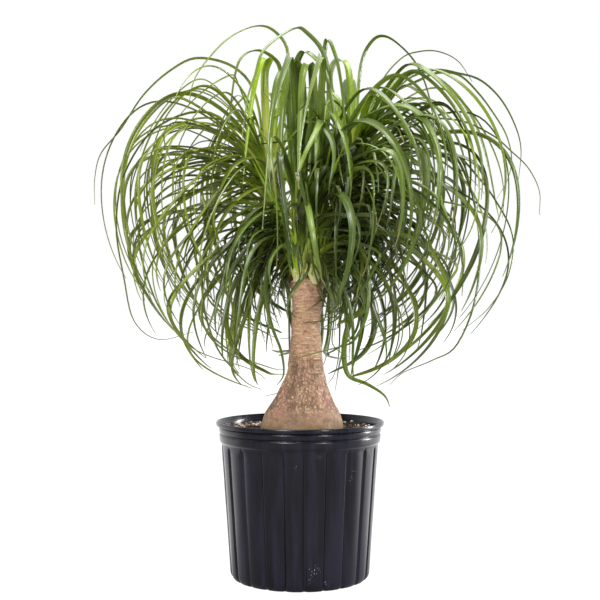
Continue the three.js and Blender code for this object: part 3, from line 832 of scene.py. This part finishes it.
def trunk_at(z):
    """Radius and lean of the trunk at a height."""
    return [smooth_table(z, TRUNK_HEIGHTS, row) for row in (TRUNK_RADII, TRUNK_LEANS)]


def make_soil(material, chip_material, perlite_material):
    angles = turns(SOIL_COLUMNS)
    around = np.stack([np.cos(angles), np.sin(angles)], -1)
    trunk_radius, lean = trunk_at(SOIL_TOP)
    low_radius, high_radius, rise = SOIL_SIDE
    rings = []
    for z in SOIL_ROWS:
        r = mix(low_radius, high_radius, (z - SOIL_ROWS[0]) / rise) - GROOVE_DEPTH * 0.9
        rings.append(np.column_stack([r * around, 0 * angles + z]))
    inner = (trunk_radius - SOIL_UNDER_BARK) * around + [lean, 0]
    for k in range(SOIL_RINGS + 1):
        flat = mix(SOIL_EDGE_RADIUS * around, inner, k / SOIL_RINGS)
        rings.append(np.column_stack([flat, soil_surface(flat[:, 0], flat[:, 1])]))
    faces = ring_faces(len(rings), SOIL_COLUMNS)
    points = np.concatenate(rings)
    soil = make_piece("potting_mix_bed", points, faces, material, "potting_mix")
    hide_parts("potting_mix")
    scatter(*BARK_CHIPS, chip_material)
    scatter(*PERLITE, perlite_material)


def scatter(name, count, size, shape, seed, clump, material):
    """Loose lumps that lie on the potting mix, some of them gathered at the back left."""
    rng = np.random.default_rng(seed)
    corners, sides = lump_ball()
    points, faces, tints = [], [], []
    trunk_radius, lean = trunk_at(SOIL_TOP + 4)
    while len(tints) < count * len(corners):
        angle = rng.uniform(0, TURN)
        if rng.random() < clump:
            angle = rng.normal(*LUMPS_GATHER)
        r = sqrt(rng.uniform(0, 1)) * LUMPS_WITHIN
        x, y = r * cos(angle), r * sin(angle)
        length = rng.uniform(*size)
        if hypot(x - lean, y) < trunk_radius + length * 0.8 or r + length > LUMPS_CLEAR:
            continue
        half = length * np.array(shape) * rng.uniform(0.7, 1.2, 3)
        rough = corners * (1 + 0.25 * rng.standard_normal((len(corners), 1)))
        spin = Matrix.Rotation(rng.uniform(0, TURN), 3, "Z")
        tip = Matrix.Rotation(rng.normal(0, 0.35), 3, "X")
        body = (rough * half) @ np.array(spin @ tip).T
        z = float(soil_surface(np.array(x), np.array(y))) + half[2] * 0.45
        start = len(points)
        points += (body + [x, y, z]).tolist()
        faces += [tuple(start + i for i in side) for side in sides]
        tints += [rng.random()] * len(corners)
    make_piece(name, points, faces, material, "potting_mix", 35, {"tint": tints})


def lump_ball():
    """Corners and faces of a small round body of twenty sides."""
    g = (1 + 5**0.5) / 2
    corners = []
    for a, b in product((-1, 1), (-g, g)):
        corners += [(0, a, b), (a, b, 0), (b, 0, a)]
    corners = np.array(corners, float) / hypot(1, g)
    faces = []
    for i, j, k in combinations(range(len(corners)), 3):
        a, b, c = corners[[i, j, k]]
        if max(map(norm, (b - a, c - b, c - a))) < 1.2:
            faces.append((i, j, k) if np.cross(b - a, c - a) @ a > 0 else (i, k, j))
    return corners, faces


def soil_material():
    s = shader("peat")
    where = s.place()
    fine = s.noise(where, 260, 6, 0.7)
    base = s.ramp(fine, [(0.3, "150f0c"), (0.52, "3a2a20"), (0.75, "6b5443")])
    base = s.coats(base, (s.noise(where, 40), 0.45, 0.65, 0, 0.5, "241a15"))
    return s.finish(Base_Color=base, Roughness=0.95, Normal=s.bump(fine, 0.8, 0.002))


def chip_material():
    s = shader("bark_chip")
    grain = s.noise(s.place((500, 120, 500)), 1)
    tint = s.attribute("tint")
    base = s.ramp(tint, [(0, "2a1a12"), (0.45, "5d4030"), (0.8, "8a6650"), (1, "b8937c")])
    base = s.coats(base, (grain, 0.3, 0.7, 0, 0.5, "20140e"))
    rough = s.noise(s.place(), 700)
    return s.finish(Base_Color=base, Roughness=0.85, Normal=s.bump(rough, 0.5, 0.001))


def perlite_material():
    s = shader("perlite_grain")
    pits = s.noise(s.place(), 900, 3)
    base = s.ramp(s.attribute("tint"), [(0, "c9bcb2"), (0.5, "e6ded6"), (1, "f6f3ef")])
    base = s.coats(base, (pits, 0.5, 0.3, 0, 0.4, "9c8f86"))
    return s.finish(Base_Color=base, Roughness=0.9, Normal=s.bump(pits, 0.5, 0.0008))


# ---- trunk
def bark_relief(places, angle, z):
    """Height of the bark, and how pale and how cracked it is, at points of the trunk."""
    stem = smoothstep(z, *STEM_STARTS)
    cracked = smoothstep(z, *FLARE_STARTS)
    flare = cracked * (1 - smoothstep(z, *FLARE_FADES))
    relief = layered_noise(places, BARK_WAVES)
    rng = np.random.default_rng(43)
    rings = []
    at = RINGS_FROM
    while at < TRUNK_TOP - 3:
        rings.append(at)
        at += rng.uniform(*RING_STEP)
    crack_and_shadow, pale = np.zeros_like(z), np.zeros_like(z)
    for k, ring_z in enumerate(rings):
        around = np.stack([np.cos(angle) * 1.4, np.sin(angle) * 1.4, np.full_like(z, 3.7 * k)], -1)
        share = smoothstep(lattice_noise(around * 1.9, 45), -0.15, 0.5)
        depth = rng.uniform(0.3, 1.0) * share
        away = z - ring_z - RING_WANDER * lattice_noise(around, 44)
        groove = np.exp(-((away / GROOVE_HALF) ** 2)) * depth
        ledge = np.exp(-(((away - LEDGE_RISE) / LEDGE_HALF) ** 2)) * depth
        relief += stem * (0.55 * ledge - 0.75 * groove)
        crack_and_shadow = np.maximum(crack_and_shadow, 0.95 * stem * groove)
        pale = np.maximum(pale, 0.85 * stem * ledge)

    ridge = 1 - np.abs(lattice_noise(places / (2.8, 2.8, 11), 46)) * 2
    fissure = smoothstep(ridge, 0.55, 0.95) * cracked * (1 - smoothstep(z, *FISSURES_FADE))
    relief -= 0.9 * fissure
    crack_and_shadow = np.maximum(crack_and_shadow, 0.9 * fissure)
    flakes = smoothstep(lattice_noise(places / (1.7, 1.7, 4.6), 47), 0.26, 0.6)
    relief += 0.7 * flakes * flare
    pale = np.maximum(pale, 0.8 * flakes * flare)
    patches = smoothstep(lattice_noise(places / (13, 13, 19), 53), 0, 0.5)
    crack_and_shadow = np.maximum(crack_and_shadow, 0.7 * patches * flare * (1 - flakes))
    return relief, pale, crack_and_shadow


def warts(places, relief, pale, crack_and_shadow):
    """Lenticels and the scars of old leaves: small raised ovals, some with a dark nick, the others
    with a painted shadow just below them.
    """
    rng = np.random.default_rng(48)
    for _ in range(WARTS):
        z = rng.uniform(*WARTS_AT)
        angle = rng.uniform(0, TURN)
        radius, lean = trunk_at(z)
        middle = np.array([lean + radius * cos(angle), radius * sin(angle), z])
        wide = rng.uniform(1.1, 2.9)
        tall = wide * rng.uniform(0.45, 0.8)
        near = np.abs(places - middle).max(-1) < WART_REACH
        x, y, up = (places[near] - middle).T
        beside = -((np.hypot(x, y) / wide) ** 2)
        share = np.exp(beside - (up / tall) ** 2)
        rise = rng.uniform(0.5, 1.5)
        if rng.random() < SCAR_SHARE:
            relief[near] -= 0.8 * rise * share
            crack_and_shadow[near] = np.maximum(crack_and_shadow[near], share)
        else:
            relief[near] += rise * share
            pale[near] = np.maximum(pale[near], share)
            # Painted shadow: a dark band just under each raised oval.
            under = np.exp(beside - ((up + 1.3 * tall) / (0.6 * tall)) ** 2)
            crack_and_shadow[near] = np.maximum(crack_and_shadow[near], 0.7 * under)


def trunk_body():
    """Rings of points up the trunk and over its top, how pale they are, and how dark with cracks
    and painted shadow.
    """
    heights = np.concatenate([
        np.linspace(TRUNK_FOOT, BARK_FROM, BURIED_ROWS)[:-1],
        np.arange(BARK_FROM, TRUNK_TOP - DOME_DROP, BARK_ROW),
    ])
    z, angle = np.meshgrid(heights, turns(TRUNK_COLUMNS), indexing="ij")
    radius, lean = trunk_at(z)
    places = np.stack([lean + radius * np.cos(angle), radius * np.sin(angle), z], -1)
    relief, pale, crack_and_shadow = bark_relief(places, angle, z)
    warts(places, relief, pale, crack_and_shadow)
    places[..., 0] += relief * np.cos(angle)
    places[..., 1] += relief * np.sin(angle)
    rings = [places]
    last = places[-1]
    for quarter in np.arange(1, DOME_STEPS) / DOME_STEPS * pi / 2:
        ring = mix(last, last.mean(0), 1 - cos(quarter))
        ring[:, 2] = heights[-1] + DOME_RISE * sin(quarter)
        ring[:, 2] += layered_noise(ring, DOME_WAVES)
        rings.append(ring[None])
    dome = (DOME_STEPS - 1) * TRUNK_COLUMNS
    pale = [*pale.ravel(), *[0] * dome]
    crack_and_shadow = [*crack_and_shadow.ravel(), *[0.3] * dome]
    return np.concatenate(rings), pale, crack_and_shadow


def branch(shoot):
    """Rings of the short branch from the trunk's fork to a head's shoot, and their roughness."""
    foot, crown = np.array(shoot[:2], float)
    radius = shoot[2]
    fork = np.array([trunk_at(TRUNK_TOP)[1], 0, TRUNK_TOP - FORK_DROP], float)
    along = (crown - foot) / norm(crown - foot)
    end = foot - FIT_GAP * along
    elbow = end - ELBOW_DROP * along
    way = [fork, mix(fork, elbow, 0.5), mix(fork, elbow, 0.85), elbow, end]
    line = spline(way, BRANCH_STEPS)
    rings = tube(line, [radius] * len(line), BRANCH_SIDES)
    out = (rings - np.array(line)[:, None]) / radius
    rough = layered_noise(rings, BRANCH_WAVES)
    return rings + out * rough[..., None], rough


def make_trunk(material):
    body, pale, crack_and_shadow = trunk_body()
    points = body.reshape(-1, 3).tolist()
    faces = ring_faces(len(body), TRUNK_COLUMNS)
    for head in HEADS:
        rings, rough = branch(head["shoots"][0])
        faces += ring_faces(len(rings), BRANCH_SIDES, len(points))
        points += rings.reshape(-1, 3).tolist()
        pale += [0.1] * rough.size
        # The branches are darker where their surface dips.
        crack_and_shadow += np.clip(-rough.ravel(), 0, 1).tolist()
    marks = {"pale": pale, "crack_and_shadow": crack_and_shadow}
    trunk = make_piece("trunk_bark", points, faces, material, "bark", attributes=marks)
    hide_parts("trunk")


def bark_material():
    s = shader("bark")
    where, height = s.place(), s.axis("Z")
    fine = s.noise(where, 330, 6, 0.7)
    mid = s.noise(where, 75, 4, 0.6, 0.6)
    wide = s.noise(where, 19, 3)
    lines = s.noise(s.place((70, 70, 480)), 1, 3)
    stem = s.span(height, 0.325, 0.36)
    zones = s.ramp(
        s.span(height, 0.24, 0.5),
        [(0, "6c553d"), (0.14, "7f654c"), (0.34, "98795d"), (0.5, "bb9070"), (0.72, "c49b75"),
         (1, "bf9074")],
    )
    base = s.coats(
        zones,
        (mid, 0.35, 0.7, 0, 0.6, "d9b08f"),
        (wide, 0.5, 0.66, 0, 0.5, "bf8272"),
        (fine, 0.35, 0.62, 0.6, 0, "6d503a"),
    )
    for share, shade in (
        (s.times(stem, s.span(lines, 0.46, 0.3, 0, 0.6)), "8a6046"),
        (s.times(stem, s.span(lines, 0.56, 0.7, 0, 0.7)), "ecc9a8"),
        (s.times(s.span(height, 0.262, 0.246), s.span(wide, 0.3, 0.6)), "75683a"),
        (s.times(s.attribute("pale"), 0.9), "e0c2a2"),
        # Cracks, and the painted shadow under the raised ovals, darken the bark.
        (s.times(s.attribute("crack_and_shadow"), 0.85), "573d2c"),
    ):
        base = s.blend(share, base, shade)
    return s.finish(
        Base_Color=base, Roughness=s.span(fine, 0.3, 0.7, 0.6, 0.85),
        Normal=s.bump(s.maths("ADD", fine, mid), 0.5, 0.0012),
    )


# ---- leaves
def keep_out(distance, least):
    """Eases a distance up so that it never falls below a least one."""
    if least <= 0 or distance >= 2 * least:
        return distance
    return least * (1 + exp((distance - 2 * least) / least))


def into_crown(p, reach):
    """Bends a point of a leaf back into its share of the round crown."""
    away = p - CROWN_MIDDLE
    side = CROWN_SIDE * reach
    tall = (CROWN_UP if away[2] > 0 else CROWN_DOWN) * reach
    share = hypot(hypot(away[0], away[1]) / side, away[2] / tall)
    if share <= CROWN_SOFT:
        return p.copy()
    room = 1 - CROWN_SOFT
    wanted = CROWN_SOFT + room * tanh((share - CROWN_SOFT) / room)
    return p - away + away * wanted / share


def clear_of_others(p, sector):
    """Keeps a point inside its head's sector and off the trunk."""
    a, b = map(radians, sector)
    for nx, ny in ((-sin(a), cos(a)), (sin(b), -cos(b))):
        inside = nx * (p[0] - MEET[0]) + ny * (p[1] - MEET[1])
        move = keep_out(inside, SECTOR_CLEAR) - inside
        p[0] += nx * move
        p[1] += ny * move
    below = 1 - smoothstep(p[2], TRUNK_TOP - TRUNK_CLEAR_FADE, TRUNK_TOP)
    least = below * (np.interp(p[2], TRUNK_HEIGHTS, TRUNK_RADII) + TRUNK_CLEAR)
    out = hypot(p[0] - MEET[0], p[1] - MEET[1])
    scale = keep_out(out, least) / out
    p[0] = MEET[0] + (p[0] - MEET[0]) * scale
    p[1] = MEET[1] + (p[1] - MEET[1]) * scale
    return p


def part_in_front(p, azimuth):
    """Moves a point of a front leaf to its own side of the trunk."""
    side = -1 if cos(azimuth) < 0 else 1
    half = PARTING_HALF * smoothstep(PARTING_FROM - p[2], 0, PARTING_FADE)
    p[0] = MEET[0] + side * keep_out(side * (p[0] - MEET[0]), half)


def ruled_leaf(rule, index, draw):
    """A leaf's numbers from its age and its seeded draws, in the solids' order."""
    age = (index + 0.5) / rule["leaves"]

    def stray(key):
        return mix(-rule[key], rule[key], draw())

    def drawn(key):
        return mix(*rule[key], draw())

    fan = mix(*rule["fan"], (index * GOLDEN_SHARE) % 1)
    azimuth = radians(fan + stray("azimuth_stray"))
    lift = mix(*rule["lift"], age ** rule["lift_power"]) + stray("lift_stray")
    fullness = min(1, age / rule["full_length_age"])
    leaf = {
        "azimuth": azimuth,
        "age": age,
        "lift": radians(lift),
        "end": radians(drawn("end")),
        "length": drawn("length") * mix(rule["oldest_length"], 1, fullness),
        "bend": mix(*rule["bend"], age) * drawn("bend_stray"),
        "sway": radians(stray("sway")),
        "width": drawn("width"),
        "twist": radians(stray("twist")),
        "reach": drawn("reach"),
        "pitch_wave": (rule["calm"] * radians(stray("pitch_wave")), draw()),
        "azimuth_wave": (rule["calm"] * radians(stray("azimuth_wave")), draw()),
    }
    *ends, radius = rule["shoots"][index % len(rule["shoots"])]
    foot, crown = np.array(ends, float)
    sunk = rule["sunk_share"] * radius
    leaf["root"] = mix(foot, crown, mix(*rule["along_shoot"], age))
    leaf["root"] += [sunk * cos(azimuth), sunk * sin(azimuth), 0]
    return leaf


def walk_midline(leaf, rule):
    """Midline of a leaf that rises at one pitch, bends over and ends at another."""
    stride = leaf["length"] / WALK_STEPS
    p = leaf["root"].copy()
    points = []

    def wave(key, waves):
        size, phase = leaf[key]
        return size * s * sin(TURN * (waves * s + phase))

    for k in range(WALK_STEPS + 1):
        q = into_crown(p, leaf["reach"])
        if not rule["free"]:
            if rule["name"] == "head_front":
                part_in_front(q, leaf["azimuth"])
            clear_of_others(q, rule["sector"])
        points.append(q)
        s = (k + 0.5) / WALK_STEPS
        pitch = mix(leaf["lift"], leaf["end"], s ** leaf["bend"])
        pitch += wave("pitch_wave", PITCH_WAVES)
        azimuth = leaf["azimuth"] + leaf["sway"] * s * s
        azimuth += wave("azimuth_wave", AZIMUTH_WAVES)
        p[0] += stride * cos(pitch) * cos(azimuth)
        p[1] += stride * cos(pitch) * sin(azimuth)
        p[2] += stride * sin(pitch)
    return points


def leaf_width(full, s):
    """Width of a blade: a broad clasping root, an even strap, then a long thin tip."""
    root = 1 + CLASP_SHARE * np.exp(-s / CLASP_LENGTH)
    return full * root * (1 - s**TAPER_POWER) + TIP_WIDTH


def leaf_rings(line, azimuth, sway, full_width, twist):
    """Points of a channelled blade along a line, ring after ring."""
    line = np.asarray(line, float)
    s = np.linspace(0, 1, len(line))
    along = np.gradient(line, axis=0)
    along /= norm(along, axis=1)[:, None]
    turned = azimuth + sway * s * s
    across = np.stack([-np.sin(turned), np.cos(turned), np.zeros_like(s)], -1)
    across -= along * (across * along).sum(1)[:, None]
    across /= norm(across, axis=1)[:, None]
    up = np.cross(along, across)
    c, si = np.cos(twist * s)[:, None], np.sin(twist * s)[:, None]
    across, up = across * c + up * si, up * c - across * si
    half = leaf_width(full_width, s) / 2
    depth = half * mix(*CHANNEL_DEPTH, s**0.6)
    thick = mix(*BLADE_THICKNESS, s)
    aside, deep, under = BLADE_SECTION.T
    a = np.outer(half, aside)
    b = -np.outer(depth, deep) - np.outer(thick, under)
    return line[:, None] + across[:, None] * a[..., None] + up[:, None] * b[..., None]


def head_leaves(head):
    """Every leaf of a head as (line, azimuth, sway, width, twist, age, tone)."""
    tones = np.random.default_rng(head["seed"])
    leaves = []
    for layer in ({}, *head["layers"]):
        rule = {**GROWTH, **head, **layer}
        draw = seeded_draw(rule["seed"])
        for i in range(rule["leaves"]):
            leaf = ruled_leaf(rule, i, draw)
            line = spline(walk_midline(leaf, rule), rule["steps"])
            youth = rule.get("fresh", YOUTH_BY_AGE * leaf["age"] ** 2)
            leaves.append((line, leaf["azimuth"], leaf["sway"], leaf["width"], leaf["twist"],
                           youth, tones.random()))
    for width, youth, through in head["traced"]:
        line = [clear_of_others(p, head["sector"]) for p in spline(through, LEAF_STEPS)]
        middle = line[len(line) // 2] - line[0]
        azimuth = atan2(middle[1], middle[0])
        leaves.append((line, azimuth, 0, width, 0, youth, TRACED_TONE * tones.random()))
    return leaves


def crowd_cell(places):
    cells = np.floor((places - np.array(CROWD_CORNER)) / CROWD_STEP).astype(int)
    return np.clip(cells, 0, np.array(CROWD_CELLS) - 1)


def crowding(lines):
    """A grid of how much leaf hangs in each cell of the crown, from all leaves' midlines."""
    grid = np.zeros(CROWD_CELLS)
    for line in lines:
        np.add.at(grid, tuple(crowd_cell(np.array(line)).T), 1 / len(line))
    return grid


def painted_shade_at(places, grid):
    """Painted shade for the leaves' colour: 0 in the open and 1 deep among the leaves, from what
    hangs on a place's most open sides.
    """
    looks = [(0, 0, 1)]
    for lift, a in product(CROWD_LIFTS, turns(CROWD_AZIMUTHS)):
        level = cos(lift)
        looks.append((level * cos(a), level * sin(a), sin(lift)))
    seen = []
    for toward in looks:
        steps = [crowd_cell(places + k * CROWD_STEP * np.array(toward))
                 for k in range(1, CROWD_REACH + 1)]
        seen.append(sum(grid[tuple(cells.T)] for cells in steps))
    open_sides = np.sort(seen, axis=0)[: int(CROWD_OPEN_SHARE * len(looks))]
    return 1 - np.exp(-CROWD_SHADE * open_sides.mean(0))


def make_head(head, leaves, grid, material):
    points, faces, uvs = [], [], []
    marks = {"along": [], "across": [], "tone": [], "age": []}
    columns = ceil(len(leaves) / UV_ROWS)
    ring_u = UV_SHARE[0] * np.linspace(0, 1, BLADE_SIDES + 1) / columns
    for k, (line, azimuth, sway, width, twist, age, shade) in enumerate(leaves):
        rings = leaf_rings(line, azimuth, sway, width, twist)
        count = len(rings)
        faces += ring_faces(count, BLADE_SIDES, len(points))
        points += rings.reshape(-1, 3).tolist()
        s = np.linspace(0, 1, count)
        marks["along"] += np.repeat(s, BLADE_SIDES).tolist()
        marks["across"] += np.tile(BLADE_SECTION[:, 0], count).tolist()
        marks["tone"] += [shade] * (count * BLADE_SIDES)
        marks["age"] += [age] * (count * BLADE_SIDES)
        u = (k % columns) / columns + ring_u
        v = (k // columns + UV_SHARE[1] * s) / UV_ROWS
        for i, j in product(range(count - 1), range(BLADE_SIDES)):
            uvs += [(u[j], v[i]), (u[j + 1], v[i]), (u[j + 1], v[i + 1]), (u[j], v[i + 1])]
        uvs += [(u[j], end) for end in (v[0], v[-1]) for j in range(BLADE_SIDES)]
    # Painted shade: how deep among other leaves each point hangs, which darkens its colour.
    marks["shade"] = painted_shade_at(np.array(points), grid)
    name = head["name"].replace("head", "leaves")
    piece = make_piece(name, points, faces, material, head["slot"], 30, marks, uvs)
    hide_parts(head["name"])


def make_shoots(head, material):
    """The ridged green shoots under a head's leaves."""
    points, faces, heights = [], [], []
    turn = turns(SHOOT_SIDES)[None]
    for *ends, radius in head["shoots"]:
        foot, crown = np.array(ends, float)
        line = spline([foot, mix(foot, crown, 0.5), crown], SHOOT_STEPS)
        s = np.linspace(0, 1, len(line))
        rings = tube(line, radius * (SHOOT_FIT - (1 - SHOOT_TAPER) * s), SHOOT_SIDES)
        ridges = 0.5 * np.sin(6 * turn + 9 * s[:, None]) + 0.3 * np.sin(11 * turn)
        out = rings - np.array(line)[:, None]
        out /= norm(out, axis=-1)[..., None]
        rings = rings + out * ridges[..., None]
        faces += ring_faces(len(line), SHOOT_SIDES, len(points))
        points += rings.reshape(-1, 3).tolist()
        heights += np.repeat(s, SHOOT_SIDES).tolist()
    name = head["name"].replace("head", "shoots")
    make_piece(name, points, faces, material, head["slot"], attributes={"along": heights})


def leaf_material(name, dark, middle, light):
    s = shader(name)
    along, across = s.attribute("along"), s.attribute("across")
    tone, age = s.attribute("tone"), s.attribute("age")
    mottle = s.noise(s.place(), 28, 3)
    sheath = s.times(along, s.span(age, 0.9, 1, 1, 0.3))
    root = s.ramp(sheath, [(0, "f8efbc"), (0.03, "e9ea80"), (0.08, "bad838"), (0.16, "8db022")])
    strip = s.node("CombineXYZ", (s.times(across, 2.2), s.times(along, 2.5), s.times(tone, 90)))
    streaks = s.noise(strip.outputs[0], 1.6, 3)
    veins = s.maths("SINE", s.times(across, 15))
    body = s.coats(
        s.ramp(tone, [(0, dark), (0.45, middle), (1, light)]),
        (mottle, 0.35, 0.7, 0, 0.4, dark),
        (age, 0.3, 1, 0, 0.85, "9abb1c"),
        (sheath, 0.02, 0.2, 1, 0, root),
        (streaks, 0.4, 0.7, 0, 0.55, light),
        (streaks, 0.5, 0.28, 0, 0.6, dark),
        (veins, -1, 1, 0, 0.2, dark),
        (s.maths("ABSOLUTE", across), 0, 0.12, 0.3, 0, light),
    )
    tips = s.times(s.span(along, 0.9, 1), s.span(tone, 0.5, 0.62))
    body = s.blend(tips, body, "9c8a56")
    # Painted shade: leaves deep in the crown are darkened towards near black, less on sheaths,
    # young leaves and low down.
    deep = s.span(s.attribute("shade"), 0.15, 0.85, 0, 0.88)
    deep = s.times(deep, s.span(sheath, 0, 0.2, 0.1, 1))
    deep = s.times(deep, s.span(age, 0.4, 1, 1, 0.1))
    deep = s.times(deep, s.span(s.axis("Z"), 0.42, 0.62, 0.1, 1))
    return s.finish(
        Base_Color=s.blend(deep, body, "080f00"),
        Roughness=s.span(mottle, 0.3, 0.7, 0.22, 0.36),
        Normal=s.bump(s.maths("ADD", s.times(veins, 0.5), mottle), 0.12, 0.0005),
    )


def shoot_material():
    s = shader("young_stem")
    fibre = s.noise(s.place((90, 90, 12)), 1)
    along = s.attribute("along")
    base = s.ramp(along, [(0, "f2e8ae"), (0.16, "cdd458"), (0.5, "98a53c"), (1, "a9b24e")])
    base = s.coats(base, (fibre, 0.35, 0.6, 0.75, 0, "66702a"))
    return s.finish(Base_Color=base, Roughness=0.55, Normal=s.bump(fibre, 0.5, 0.001))


# ---- the whole plant
set_camera()
light_room()
hang_lamps()
lay_floor()
make_pot(pot_material())
make_soil(soil_material(), chip_material(), perlite_material())
make_trunk(bark_material())
stem = shoot_material()
foliage = {head["name"]: head_leaves(head) for head in HEADS}
grid = crowding([leaf[0] for leaves in foliage.values() for leaf in leaves])
for head in HEADS:
    make_shoots(head, stem)
    green = leaf_material(head["slot"], *head["greens"])
    make_head(head, foliage[head["name"]], grid, green)
